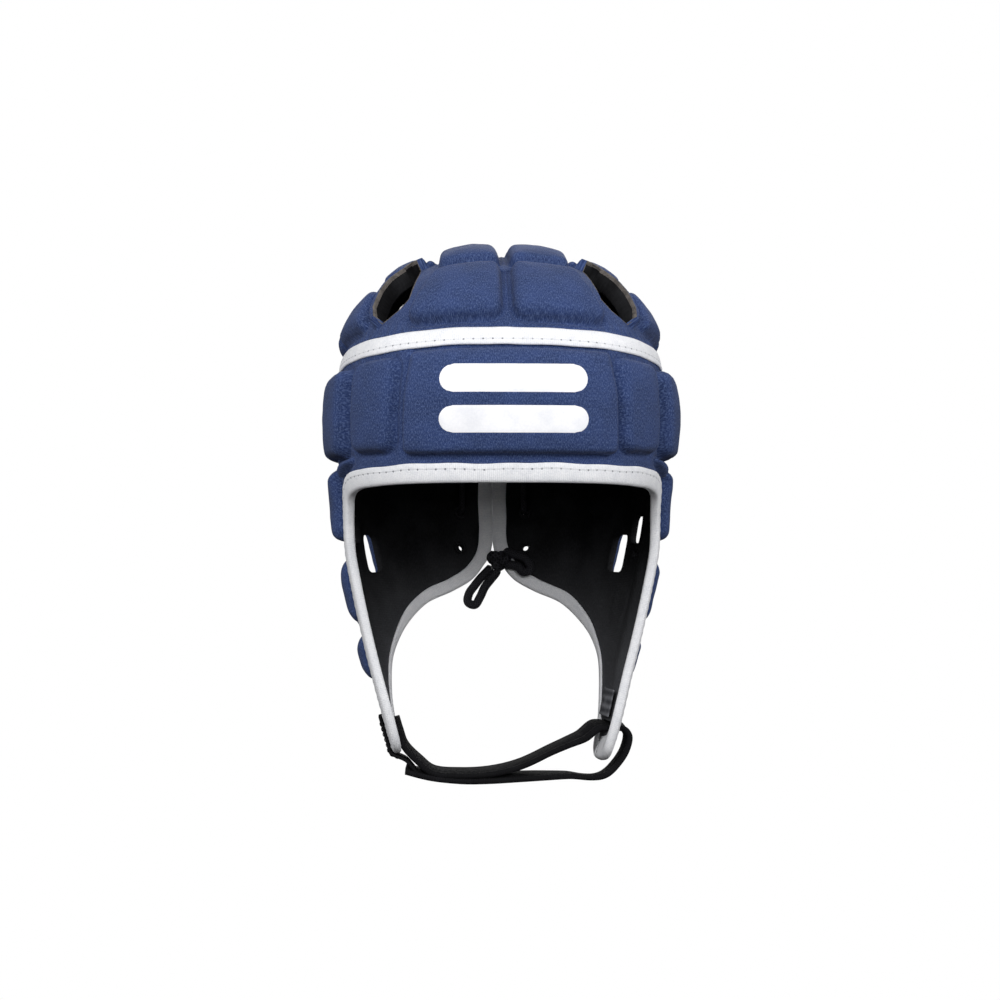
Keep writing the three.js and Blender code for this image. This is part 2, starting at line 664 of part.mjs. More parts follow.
// Route of the strap: x as a share of the half width, then a height
const strapRoute = [
  flapFace(-1, tipZ + 16, insideHeight),
  flapFace(-1, tipZ + 9, insideHeight),
  flapFace(-1, tipZ + 2, insideHeight - 0.4),
  new THREE.Vector3(-0.5 * HALF_WIDTH, STRAP_Y, tipZ - 5.5),
  new THREE.Vector3(-0.42 * HALF_WIDTH, STRAP_Y, highPly + 1.6),
  new THREE.Vector3(-0.26 * HALF_WIDTH, STRAP_Y, highPly),
  new THREE.Vector3(-0.08 * HALF_WIDTH, STRAP_Y, highPly + 0.6),
  new THREE.Vector3(0.12 * HALF_WIDTH, STRAP_Y, highPly + 4.4),
  new THREE.Vector3(0.32 * HALF_WIDTH, STRAP_Y, highPly + 11.5),
  new THREE.Vector3(0.5 * HALF_WIDTH, STRAP_Y, highPly + 19),
  flapFace(1, slotZ - 2.4, -3.6),
  flapFace(1, slotZ, outerFace / 2),
  flapFace(1, slotZ + 1.6, outerFace + 4.4),
  flapFace(1, slotZ - 1, outerFace + 8.4),
  flapFace(1, slotZ - 8, outerFace + 9.4),
  flapFace(1, slotZ - 16, outerFace + 7.4),
  new THREE.Vector3(0.65 * HALF_WIDTH, STRAP_Y, lowPly + 5.6),
  new THREE.Vector3(0.54 * HALF_WIDTH, STRAP_Y, lowPly + 2.4),
  new THREE.Vector3(0.38 * HALF_WIDTH, STRAP_Y, lowPly + 1.9),
  new THREE.Vector3(0.14 * HALF_WIDTH, STRAP_Y, lowPly + 1.1),
  new THREE.Vector3(-0.08 * HALF_WIDTH, STRAP_Y, lowPly + 0.4),
  new THREE.Vector3(-0.26 * HALF_WIDTH, STRAP_Y, lowPly),
  new THREE.Vector3(-0.42 * HALF_WIDTH, STRAP_Y, lowPly + 0.9),
  new THREE.Vector3(-0.58 * HALF_WIDTH, STRAP_Y, lowPly + 4.6),
];
const STRAP_STEPS = 34;
const strapCurve = new THREE.CatmullRomCurve3(strapRoute, false, "centripetal");

// Band of cloth along a curve in the X Z plane
function bandSolid(points, width, thick) {
  const section = [[0.5, 0.5], [-0.5, 0.5], [-0.5, -0.5], [0.5, -0.5]];
  const rings = points.map((point, i) => {
    const ahead = points[Math.min(i + 1, points.length - 1)];
    const behind = points[Math.max(i - 1, 0)];
    const along = ahead.clone().sub(behind).normalize();
    const side = new THREE.Vector3(-along.z, 0, along.x).multiplyScalar(thick);
    const across = new THREE.Vector3(0, width, 0);
    return section.map(([s, w]) => point.clone().addScaledVector(side, s).addScaledVector(across, w));
  });
  return sweptSolid(rings, section);
}

const strapPoints = strapCurve.getSpacedPoints(STRAP_STEPS);

function slotCutter() {
  const near = strapPoints.filter((p) => p.x > 0.55 * HALF_WIDTH && p.z > slotZ - 6);
  return bandSolid(near, STRAP_WIDTH + 2 * SLOT_CLEARANCE, STRAP_THICK + 2 * SLOT_CLEARANCE);
}

// Hook strip between the two plies of the strap
function hookStrip() {
  const upper = strapPoints.filter((p) => p.x > -0.46 * HALF_WIDTH && p.x < 0 && p.z > lowPly + 2 && p.z < tipZ);
  const start = upper[0].x;
  const drop = STRAP_THICK / 2 + LAYER_GAP + HOOK_THICK / 2;
  const run = upper.filter((p) => p.x < start + HOOK_LENGTH).map((p) => p.clone().add(new THREE.Vector3(0, 0, -drop)));
  return bandSolid(run, STRAP_WIDTH * 0.86, HOOK_THICK);
}

// Outer end of the strap, sewn to the outside of the wearer's right flap
function strapTab() {
  const height = legTop + LAYER_GAP + TAB_THICK / 2;
  const points = [];
  for (let i = 0; i <= 4; i += 1) points.push(flapFace(-1, lerp(tipZ + TAB_LENGTH - 3, tipZ - 2, i / 4), height));
  points.push(new THREE.Vector3(-0.575 * HALF_WIDTH, STRAP_Y, tipZ - 6.6));
  return bandSolid(points, STRAP_WIDTH, TAB_THICK);
}

// Ribbed webbing patch inside the wearer's left flap, just over the slot
function slotPatch() {
  const height = bindingInner - PATCH_THICK / 2;
  const low = slotZ + 3.5;
  const band = (from, to, thick, lifted) => {
    const points = [];
    for (let i = 0; i <= 3; i += 1) points.push(flapFace(1, lerp(from, to, i / 3), height - lifted));
    return bandSolid(points, STRAP_WIDTH + 2, thick);
  };
  const ridge = PATCH_THICK / 2 + RIDGE_HEIGHT / 4;
  const top = low + PATCH_HEIGHT;
  return union([
    band(low, top, PATCH_THICK, 0),
    band(low + 0.8, low + 2.6, RIDGE_HEIGHT, ridge),
    band(top - 2.6, top - 0.8, RIDGE_HEIGHT, ridge),
  ]);
}

// Back wall: x and z in millimetres, height over the form
function backPoint(x, z, height) {
  const reach = reachAt(z);
  const along = Math.max(0, 1 - Math.abs(x / reach.side) ** ROUNDNESS) ** (1 / ROUNDNESS);
  const rise = Math.max(0, z - widestZ) / DOME_HEIGHT;
  const y = reach.back * along * Math.max(0, 1 - rise ** ROUNDNESS) ** (1 / ROUNDNESS);
  return lift(new THREE.Vector3(x, y, z), height);
}

const eyeletRows = [0, 1, 2].map((row) => -EYELET_LOW_DEPTH + row * EYELET_PITCH);

// Ring of points round an axis that stands on the back wall
function discRing(x, z, radius, height) {
  const normal = normalAt(backPoint(x, z, 0));
  const across = new THREE.Vector3(0, 0, 1).cross(normal).normalize();
  const up = normal.clone().cross(across);
  const centre = backPoint(x, z, height);
  return Array.from({ length: EYELET_SIDES }, (_, i) => {
    const angle = (i / EYELET_SIDES) * TURN;
    return centre.clone().addScaledVector(across, radius * Math.cos(angle)).addScaledVector(up, radius * Math.sin(angle));
  });
}

function eyeletSpots() {
  return eyeletRows.flatMap((z) => [1, -1].map((side) => ({ x: side * EYELET_OFFSET, z })));
}

function eyelet({ x, z }) {
  const bore = EYELET_BORE / 2 - 0.1;
  const top = tapeFoot + EYELET_THICK;
  const section = [[bore, tapeFoot], [bore, top], [bore + EYELET_RIM, top], [bore + EYELET_RIM, tapeFoot]];
  const circles = section.map(([radius, height]) => discRing(x, z, radius, height));
  return ringSolid(circles[0].map((_, i) => circles.map((circle) => circle[i])));
}

function eyeletCutters() {
  return eyeletSpots().map(({ x, z }) => {
    const ends = [CUT_IN, CUT_OUT].map((height) => discRing(x, z, EYELET_BORE / 2, height));
    const outline = Array.from({ length: EYELET_SIDES }, (_, i) => {
      return [Math.cos((i / EYELET_SIDES) * TURN), Math.sin((i / EYELET_SIDES) * TURN)];
    });
    return sweptSolid(ends, outline);
  });
}

// Round cord along a curve of points
function cordSolid(route, steps) {
  const curve = new THREE.CatmullRomCurve3(route, false, "centripetal");
  const shape = new THREE.Shape();
  for (let i = 0; i < LACE_SIDES; i += 1) {
    const angle = (i / LACE_SIDES) * TURN;
    const at = [(LACE_DIAMETER / 2) * Math.cos(angle), (LACE_DIAMETER / 2) * Math.sin(angle)];
    if (i === 0) shape.moveTo(...at);
    else shape.lineTo(...at);
  }
  shape.closePath();
  return new THREE.ExtrudeGeometry(shape, { steps, extrudePath: curve, bevelEnabled: false });
}

// Lacing: out of the knot, through two rows of eyelets a side and straight across the top
const laceOut = legTop + LAYER_GAP + LACE_DIAMETER / 2 + 0.4;
const laceIn = bindingInner - TAPE_THICK - LAYER_GAP - LACE_DIAMETER / 2;

// Knot half-sizes along x, z and height, and the point just off it in a direction
const knotSize = [KNOT_RADIUS, KNOT_RADIUS * 0.85, KNOT_RADIUS * 0.9];

function offKnot(direction, gap) {
  const share = 1 / Math.hypot(...direction.map((value, i) => value / knotSize[i]));
  const reach = share + gap / Math.hypot(...direction);
  return [0, -KNOT_DEPTH, KNOT_LIFT].map((value, i) => value + direction[i] * reach);
}

// First two points of a cord that leaves the knot in a direction
function fromKnot(...direction) {
  return [offKnot(direction, LAYER_GAP + 0.1), offKnot(direction, LAYER_GAP + 1.4)];
}

function laceRoute() {
  const [, low, high] = eyeletRows;
  const e = EYELET_OFFSET;
  const turn = 2.4;
  const half = [
    ...fromKnot(0.5, 0.62, 0.6).map((p) => backPoint(...p)),
    backPoint(3.4, -KNOT_DEPTH + 3.8, laceOut - 0.3),
    backPoint(e / 2, lerp(-KNOT_DEPTH, low, 0.6), laceOut + 0.3),
    backPoint(e - 3, low - 2, laceOut + 0.2),
    backPoint(e, low, tapeFoot + EYELET_THICK), backPoint(e, low, LINING_THICK / 2),
    backPoint(e, low + turn, laceIn), backPoint(e, high - turn, laceIn),
    backPoint(e, high, LINING_THICK / 2), backPoint(e, high, tapeFoot + EYELET_THICK),
    backPoint(e - turn, high, laceOut + 0.3), backPoint(e / 2, high, laceOut),
  ];
  const rest = half.slice().reverse().map((p) => new THREE.Vector3(-p.x, p.y, p.z));
  return [...half, ...rest];
}

// Bow loops below the knot: x, z and height of each point
const outerLoop = [
  ...fromKnot(-0.45, -0.7, 0.55), [-6, -168.4, 6.4], [-11, -172.4, 8], [-16, -176, 8.2], [-18.4, -179.4, 8],
  [-15.6, -182, 7.6], [-10.6, -179.6, 6.6], [-6.2, -174.8, 4.6], [-2.4, -169, 2.2],
  ...fromKnot(-0.05, -1, 0).reverse(),
];
const innerLoop = [
  ...fromKnot(0.75, 0.45, -0.5), [6.8, -156.2, -5.4], [14, -156, -5.6], [18.6, -158.8, -5.8],
  [20.4, -162.6, -5.8], [17.6, -165.4, -5.6], [12.4, -164.6, -5.4], [7, -163.6, -5],
  ...fromKnot(0.6, -0.62, -0.5).reverse(),
];

function knotSolid() {
  const ball = new THREE.IcosahedronGeometry(KNOT_RADIUS, 1);
  ball.scale(...[0, 2, 1].map((axis) => knotSize[axis] / KNOT_RADIUS));
  const seat = backPoint(0, -KNOT_DEPTH, KNOT_LIFT);
  ball.translate(seat.x, seat.y, seat.z);
  return ball;
}

// The assembly
const navy = { color: 0x2c3f78, roughness: 0.85, metalness: 0 };
const white = { color: 0xf0f0f0, roughness: 0.8, metalness: 0 };
const black = { color: 0x1c1c1e, roughness: 0.9, metalness: 0 };
const dark = { color: 0x17181c, roughness: 0.95, metalness: 0 };
const grey = { color: 0x9a9a9e, roughness: 0.85, metalness: 0 };
const cap = new THREE.Group();

function meshOf(name, geometry, finish) {
  const mesh = new THREE.Mesh(geometry, new THREE.MeshStandardMaterial(finish));
  mesh.name = name;
  cap.add(mesh);
}

function addSolid(name, solid, finish) {
  const { vertProperties, triVerts } = solid.getMesh();
  const geometry = new THREE.BufferGeometry();
  geometry.setAttribute("position", new THREE.BufferAttribute(vertProperties, 3));
  geometry.setIndex(new THREE.BufferAttribute(triVerts, 1));
  meshOf(name, geometry, finish);
}

const throughCrown = union(ventCutters());
const throughWall = union([...earCutters(), ...eyeletCutters(), slotCutter()]);
const crownEdge = (azimuth) => seamHeight(azimuth) + SEAM_GAP / 2;
const crownPanel = union([crownShell(panelInner, outerFace, crownEdge), ...crownPadSolids()]).subtract(throughCrown);
const wallPanel = trimWall(union([wallShell(panelInner, outerFace), ...wallPadSolids()])).subtract(throughWall);
const crownLining = crownShell(0, LINING_THICK, crownEdge).subtract(throughCrown);
const wallLining = trimWall(wallShell(0, LINING_THICK)).subtract(throughWall);
const [faceBinding, napeBinding] = bindings();

addSolid("crown_panel", largestPiece(crownPanel), navy);
addSolid("wall_panel", largestPiece(wallPanel), navy);
addSolid("crown_lining", largestPiece(crownLining), dark);
addSolid("wall_lining", largestPiece(wallLining), dark);
addSolid("crown_tape", seamTape(), white);
addSolid("face_binding", faceBinding, white);
addSolid("nape_binding", napeBinding, white);
eyeletSpots().forEach((spot, i) => addSolid(`eyelet_${i + 1}`, eyelet(spot), black));
meshOf("back_lace", cordSolid(laceRoute(), LACE_STEPS), black);
meshOf("lace_loop_outer", cordSolid(outerLoop.map((p) => backPoint(...p)), LOOP_STEPS), black);
meshOf("lace_loop_inner", cordSolid(innerLoop.map((p) => backPoint(...p)), LOOP_STEPS), black);
meshOf("lace_knot", knotSolid(), black);
addSolid("chin_strap", bandSolid(strapPoints, STRAP_WIDTH, STRAP_THICK), black);
addSolid("strap_tab", strapTab(), black);
addSolid("hook_strip", hookStrip(), black);
addSolid("slot_patch", slotPatch(), grey);

export default cap;
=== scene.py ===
"""Looks of a rugby scrum cap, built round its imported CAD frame.

Lengths are worked out in millimetres on the cap's head form, and turned into metres where a mesh
is made. The cap faces -Y, +Z is up, and the origin is the inside of the crown.
"""

from __future__ import annotations

import logging
import math
from dataclasses import dataclass, field, replace
from enum import Enum
from typing import Any, Sequence

import bmesh
import bpy
import numpy as np
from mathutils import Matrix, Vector, noise
from mathutils.bvhtree import BVHTree
from mathutils.kdtree import KDTree

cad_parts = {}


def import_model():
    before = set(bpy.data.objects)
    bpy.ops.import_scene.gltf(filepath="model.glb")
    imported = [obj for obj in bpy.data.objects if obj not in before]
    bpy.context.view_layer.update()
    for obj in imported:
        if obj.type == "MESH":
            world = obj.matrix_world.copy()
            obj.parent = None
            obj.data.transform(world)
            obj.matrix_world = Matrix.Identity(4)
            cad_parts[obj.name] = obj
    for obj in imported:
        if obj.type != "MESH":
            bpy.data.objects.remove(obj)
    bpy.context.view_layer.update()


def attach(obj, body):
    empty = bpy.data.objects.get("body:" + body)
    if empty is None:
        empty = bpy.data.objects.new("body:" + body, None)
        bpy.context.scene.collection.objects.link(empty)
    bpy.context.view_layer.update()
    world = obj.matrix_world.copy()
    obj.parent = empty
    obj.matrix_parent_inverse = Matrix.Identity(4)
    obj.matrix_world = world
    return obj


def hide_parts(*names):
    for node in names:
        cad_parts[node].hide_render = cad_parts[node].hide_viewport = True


Array = np.ndarray
Point = tuple[float, float]
Quad = list[Point]
Piece = bpy.types.Object
Finish = bpy.types.Material

MM = 0.001
TURN = 2 * math.pi
LIGHTS = {
    "key": ((-0.6, -1.6, 0.75), 0.9, 20.0),
    "fill": ((1.1, -1.45, 0.7), 0.9, 12.0),
    "front": ((0.1, -2.0, 0.2), 0.5, 12.0),
    "top": ((0.0, 0.1, 1.5), 1.1, 5.0),
    "left_side": ((1.7, -0.1, 0.5), 0.9, 11.0),
    "right_side": ((-1.7, -0.1, 0.5), 0.9, 11.0),
    "back": ((0.2, 1.6, 0.9), 1.1, 14.0),
}
CLOTH: dict[str, Any] = {
    "quality": 4, "mass": 0.2, "tension_stiffness": 18, "compression_stiffness": 6,
    "shear_stiffness": 6, "bending_stiffness": 0.4, "use_pressure": True,
    "uniform_pressure_force": 3.0, "vertex_group_mass": "held",
}
EYELET_ROWS = (-147.5, -128.0, -108.5)
EYELET_REACH = 18.0
STRAP_Y = -0.6
LOG = logging.getLogger("scrum_cap")


# Head form and its charts


@dataclass(frozen=True)
class HeadForm:
    """The surface that the lining lies on: a rounded dome over a tapering jaw, in millimetres."""

    half_width: float = 80.5
    front_reach: float = 97.0
    back_reach: float = 100.0
    dome_height: float = 82.0
    cap_depth: float = 250.0
    roundness: float = 2.35
    jaw_taper: float = 0.4
    jaw_power: float = 1.6
    nape_taper: float = 0.42
    nape_power: float = 1.8
    seam_depth: float = 54.0
    seam_tilt: float = 12.0
    brow_depth: float = 111.0
    tape_width: float = 10.0
    slit_near: float = 62.0

    def reach_at(self, z: Array) -> dict[str, Array]:
        """Half-width, front and back reach and their slopes at a height.

        Args:
            z: Heights of the form.

        Returns:
            The three reaches and their slopes, by name.
        """
        span = self.cap_depth - self.dome_height
        depth = np.maximum(0.0, -self.dome_height - z) / span
        jaw = self.jaw_taper * depth**self.jaw_power
        nape = self.nape_taper * depth**self.nape_power
        safe = np.where(depth > 0, depth, 1.0)
        jaw_slope = np.where(depth > 0, self.jaw_power * jaw / safe / span, 0.0)
        nape_slope = np.where(depth > 0, self.nape_power * nape / safe / span, 0.0)
        return {
            "side": self.half_width * (1 - jaw),
            "side_slope": self.half_width * jaw_slope,
            "front": self.front_reach * (1 - jaw),
            "front_slope": self.front_reach * jaw_slope,
            "back": self.back_reach * (1 - nape),
            "back_slope": self.back_reach * nape_slope,
        }

    def wall_point(self, azimuth: Array, z: Array) -> Array:
        """Points of the form.

        Args:
            azimuth: Angles round the cap, 0 at the face and a quarter turn at +X.
            z: Heights.

        Returns:
            Points, one row each.
        """
        azimuth, z = np.broadcast_arrays(np.asarray(azimuth, float), np.asarray(z, float))
        reach = self.reach_at(z)
        n = self.roundness
        lengthwise = np.where(np.cos(azimuth) > 0, reach["front"], reach["back"])
        rise = np.clip((z + self.dome_height) / self.dome_height, 0, 1)
        narrowing = np.maximum(0.0, 1 - rise**n) ** (1 / n)
        across = np.abs(np.sin(azimuth) / reach["side"]) ** n
        along = np.abs(np.cos(azimuth) / lengthwise) ** n
        radius = narrowing * (across + along) ** (-1 / n)
        return np.stack([radius * np.sin(azimuth), -radius * np.cos(azimuth), z], axis=-1)

    def normal_at(self, points: Array) -> Array:
        """Outward unit normals of the form at points on it.

        Args:
            points: Points of the form.

        Returns:
            One unit vector a point.
        """
        x, y, z = points[..., 0], points[..., 1], points[..., 2]
        reach = self.reach_at(z)
        lengthwise = np.where(y < 0, reach["front"], reach["back"])
        slope = np.where(y < 0, reach["front_slope"], reach["back_slope"])
        power = self.roundness - 1

        def bend(value: Array, size: Array) -> Array:
            """Gradient term of one axis."""
            return np.sign(value) * np.abs(value / size) ** power / size

        nx = bend(x, reach["side"])
        ny = bend(y, lengthwise)
        dome = bend(np.maximum(0.0, z + self.dome_height), np.full_like(z, self.dome_height))
        taper = nx * x * reach["side_slope"] / reach["side"] + ny * y * slope / lengthwise
        return unit(np.stack([nx, ny, dome - taper], axis=-1))

    def lift(self, feet: Array, height: Array | float) -> Array:
        """Raises points off the form along its normals."""
        height = np.asarray(height, float)
        return feet + self.normal_at(feet) * height[..., None]

    def angle_of_height(self, z: Array) -> Array:
        """Meridian angle of a height: 0 at the crown, a quarter turn at the widest level."""
        rise = np.clip((z + self.dome_height) / self.dome_height, 0, 1)
        return np.arccos(rise ** (self.roundness / 2))

    def height_of_angle(self, angle: Array) -> Array:
        """Height of a meridian angle."""
        return -self.dome_height + self.dome_height * np.cos(angle) ** (2 / self.roundness)

    def seam_height(self, azimuth: Array) -> Array:
        """Height of the seam between crown and wall at an azimuth."""
        return -self.seam_depth + self.seam_tilt * np.cos(azimuth)

    def column_edge(self, x: Array, rear: Array) -> Array:
        """Distance from the middle plane to the crown tape along a front-to-back column.

        Args:
            x: Places across the cap.
            rear: True where the column runs to the back.

        Returns:
            Distances along Y.
        """
        lengthwise = np.where(rear, self.back_reach, self.front_reach)
        y = np.where(rear, lengthwise, -lengthwise)
        share = np.abs(x / self.half_width)
        for _ in range(12):
            top = self.seam_height(np.arctan2(x, -y)) + self.tape_width / 2
            left = 1 - share**self.roundness
            left = left - ((top + self.dome_height) / self.dome_height) ** self.roundness
            reach = lengthwise * np.maximum(0.0, left) ** (1 / self.roundness)
            y = np.where(rear, reach, -reach)
        return np.abs(y)

    def azimuth_at(self, y: Array, z: Array) -> Array:
        """Azimuth on the +X side of a place given by y and height."""
        reach = self.reach_at(z)
        lengthwise = np.where(y < 0, reach["front"], reach["back"])
        n = self.roundness
        across = np.maximum(0.0, 1 - np.abs(y / lengthwise) ** n) ** (1 / n)
        return np.arctan2(reach["side"] * across, -y)

    def back_foot(self, x: Array, z: Array) -> Array:
        """Points of the back wall given by x and height."""
        reach = self.reach_at(z)
        n = self.roundness
        along = np.maximum(0.0, 1 - np.abs(x / reach["side"]) ** n) ** (1 / n)
        rise = np.maximum(0.0, z + self.dome_height) / self.dome_height
        y = reach["back"] * along * np.maximum(0.0, 1 - rise**n) ** (1 / n)
        return np.stack(np.broadcast_arrays(x, y, z), axis=-1).astype(float)


FORM = HeadForm()


class Chart(Enum):
    """Ways of giving a place on the form by two numbers."""

    COLUMN = "x as a share of the half width, and -1 to 1 from the front tape to the back tape"
    SIDE = "azimuth in degrees, and 0 to 1 from the crown to the tape"
    WALL = "azimuth in degrees; level 0 at the tape, 1 at the brow, 2 at the flap tips"
    FLAP = "y and height in millimetres, on the +X flap"
    FLAP_MIRROR = "y and height in millimetres, on the -X flap"
    BACK = "x and height in millimetres, on the back wall"

    def place(self, spots: Array) -> Array:
        """Turns chart values into points of the form.

        Args:
            spots: Pairs of chart values.

        Returns:
            Points of the form.
        """
        u, v = spots[..., 0], spots[..., 1]
        if self is Chart.COLUMN:
            x = u * FORM.half_width
            edge = FORM.column_edge(x, v > 0)
            y = edge * v
            n = FORM.roundness
            lengthwise = np.where(v > 0, FORM.back_reach, FORM.front_reach)
            rise = np.maximum(0.0, 1 - np.abs(u) ** n - np.abs(y / lengthwise) ** n)
            z = -FORM.dome_height + FORM.dome_height * rise ** (1 / n)
            return np.stack([x, y, z], axis=-1)
        if self is Chart.SIDE:
            azimuth = np.radians(u)
            edge = FORM.angle_of_height(FORM.seam_height(azimuth) + FORM.tape_width / 2)
            return FORM.wall_point(azimuth, FORM.height_of_angle(edge * v))
        if self is Chart.WALL:
            azimuth = np.radians(u)
            top = FORM.seam_height(azimuth) - FORM.tape_width / 2
            upper = top + (-FORM.brow_depth - top) * v
            lower = -FORM.brow_depth - (FORM.cap_depth - FORM.brow_depth) * (v - 1)
            return FORM.wall_point(azimuth, np.where(v <= 1, upper, lower))
        if self is Chart.BACK:
            return FORM.back_foot(u, v)
        side = 1 if self is Chart.FLAP else -1
        return FORM.wall_point(side * FORM.azimuth_at(u, v), v)

    def read(self, points: Array) -> Array:
        """Turns points of the form into chart values.

        Args:
            points: Points of the form.

        Returns:
            Pairs of chart values.
        """
        x, y, z = points[..., 0], points[..., 1], points[..., 2]
        azimuth = np.arctan2(x, -y)
        if self is Chart.COLUMN:
            edge = FORM.column_edge(x, y > 0)
            return np.stack([x / FORM.half_width, y / np.maximum(edge, 1e-3)], axis=-1)
        if self is Chart.SIDE:
            edge = FORM.angle_of_height(FORM.seam_height(azimuth) + FORM.tape_width / 2)
            return np.stack([np.degrees(azimuth), FORM.angle_of_height(z) / edge], axis=-1)
        if self is Chart.WALL:
            top = FORM.seam_height(azimuth) - FORM.tape_width / 2
            upper = (z - top) / (-FORM.brow_depth - top)
            lower = 1 - (z + FORM.brow_depth) / (FORM.cap_depth - FORM.brow_depth)
            return np.stack([np.degrees(azimuth), np.where(upper <= 1, upper, lower)], axis=-1)
        if self is Chart.BACK:
            return np.stack([np.where(y > 0, x, 1e4), z], axis=-1)
        side = 1 if self is Chart.FLAP else -1
        return np.stack([np.where(x * side > 0, y, 1e4), z], axis=-1)


# Geometry


def inside(polygon: Array, spots: Array) -> Array:
    """Even-odd test of points against a polygon.

    Args:
        polygon: Corners in order.
        spots: Points to test.

    Returns:
        True where a point lies inside.
    """
    x, y = spots[..., 0], spots[..., 1]
    result = np.zeros(x.shape, bool)
    for (ax, ay), (bx, by) in zip(polygon, np.roll(polygon, -1, axis=0)):
        if ay == by:
            continue
        crosses = (ay > y) != (by > y)
        result ^= crosses & (x < (bx - ax) * (y - ay) / (by - ay) + ax)
    return result


def unit(vectors: Array) -> Array:
    """Vectors of length one."""
    return vectors / np.linalg.norm(vectors, axis=-1, keepdims=True)


def run_lengths(points: Array, closed: bool) -> Array:
    """Running length along points, with the way back where closed."""
    path = np.vstack([points, points[:1]]) if closed else points
    steps = np.linalg.norm(np.diff(path, axis=0), axis=1)
    return np.concatenate([[0.0], np.cumsum(steps)])


def even_points(points: Array, count: int, closed: bool) -> Array:
    """Evenly spaced points along a polyline.

    Args:
        points: The polyline's points.
        count: Number of steps.
        closed: Whether the last point joins the first.

    Returns:
        The new points; a loop doesn't repeat its first.
    """
    path = np.vstack([points, points[:1]]) if closed else points
    along = run_lengths(points, closed)
    places = np.linspace(0, along[-1], count + 1)
    if closed:
        places = places[:-1]
    return np.stack([np.interp(places, along, path[:, k]) for k in range(path.shape[1])], axis=1)


def rounded_shares(wide: float, tall: float, corner: float, step: float) -> Array:
    """Shares round a rectangle with rounded corners.

    Args:
        wide: Width in millimetres.
        tall: Height in millimetres.
        corner: Corner radius.
        step: Spacing of the points.

    Returns:
        Pairs from 0 to 1.
    """
    corner = min(corner, wide / 2.4, tall / 2.4)
    points = []
    right, low = wide - corner, tall - corner
    centres = [(right, corner), (right, low), (corner, low), (corner, corner)]
    for quarter, (cx, cy) in enumerate(centres):
        count = max(3, int(corner * math.pi / 2 / step))
        for i in range(count + 1):
            angle = (quarter - 1) * math.pi / 2 + i / count * math.pi / 2
            points.append((cx + corner * math.cos(angle), cy + corner * math.sin(angle)))
    rounded = np.array(points)
    count = max(3, int(round(run_lengths(rounded, True)[-1] / step)))
    return even_points(rounded, count, True) / np.array([wide, tall])


def spline(points: Array, count: int, closed: bool) -> Array:
    """Centripetal curve through points, sampled at even spacing.

    Args:
        points: Points that the curve passes.
        count: Number of steps.
        closed: Whether it is a loop.

    Returns:
        Points on the curve; a loop doesn't repeat its first.
    """
    size = len(points)
    runs = size if closed else size - 1
    parts = []
    for i in range(runs):
        if closed:
            p = [points[(i + k) % size] for k in (-1, 0, 1, 2)]
        else:
            before = points[i - 1] if i else 2 * points[0] - points[1]
            after = points[i + 2] if i + 2 < size else 2 * points[-1] - points[-2]
            p = [before, points[i], points[i + 1], after]
        knots = [0.0]
        for a, b in zip(p, p[1:]):
            knots.append(knots[-1] + max(float(np.linalg.norm(b - a)) ** 0.5, 1e-4))
        t = np.linspace(knots[1], knots[2], 24, endpoint=False)[:, None]

        def blend(a: Array, b: Array, low: float, high: float) -> Array:
            """Straight blend between two knots."""
            return (high - t) / (high - low) * a + (t - low) / (high - low) * b

        first = blend(p[0], p[1], knots[0], knots[1])
        second = blend(p[1], p[2], knots[1], knots[2])
        third = blend(p[2], p[3], knots[2], knots[3])
        left = blend(first, second, knots[0], knots[2])
        right = blend(second, third, knots[1], knots[3])
        parts.append(blend(left, right, knots[1], knots[2]))
    dense = np.vstack(parts if closed else [*parts, points[-1:]])
    return even_points(dense, count, closed)


def smooth_step(low: float, high: float, value: Array) -> Array:
    """Smooth rise from 0 at low to 1 at high."""
    share = np.clip((value - low) / (high - low), 0, 1)
    return share * share * (3 - 2 * share)


@dataclass(frozen=True)
class FlapSpread:
    """How far the soft flaps stand out from their pattern: all of one, the front edge of the other."""

    top: float = -120.0
    full: float = -152.0
    right_out: float = 2.2
    left_out: float = 3.0
    front_from: float = 2.0
    front_full: float = -16.0
    from_x: float = 24.0
    full_x: float = 46.0
    rear_from: float = 25.0
    rear_gone: float = 60.0
    tip_drop: float = 4.6
    tip_x: tuple[float, float] = (34.0, 58.0)
    tip_z: tuple[float, float] = (-238.0, -205.0)

    def settle(self, points: Array) -> Array:
        """Moves points of the flaps outwards.

        Args:
            points: Points in millimetres.

        Returns:
            The moved points.
        """
        x, y, z = points[..., 0], points[..., 1], points[..., 2]
        low = 1 - smooth_step(self.full, self.top, z)
        right = -self.right_out * smooth_step(self.from_x, self.full_x, -x)
        front = 1 - smooth_step(self.front_full, self.front_from, y)
        left = self.left_out * smooth_step(self.from_x, self.full_x, x) * front
        moved = points.copy()
        moved[..., 0] += low * (right + left) * (1 - smooth_step(self.rear_from, self.rear_gone, y))
        near_tip = smooth_step(*self.tip_x, x) * (1 - smooth_step(*self.tip_z, z))
        moved[..., 2] -= self.tip_drop * near_tip
        return moved


SPREAD = FlapSpread()


def ripple(points: Array, size: float, seed: float) -> Array:
    """Smooth noise over points.

    Args:
        points: Points in millimetres.
        size: Size of one ripple.
        seed: Shift that picks the pattern.

    Returns:
        Values of about -1 to 1.
    """
    flat = points.reshape(-1, 3) / size + seed
    values = np.array([noise.noise(Vector(p)) for p in flat])
    return values.reshape(points.shape[:-1]) * 1.6


# Shaders


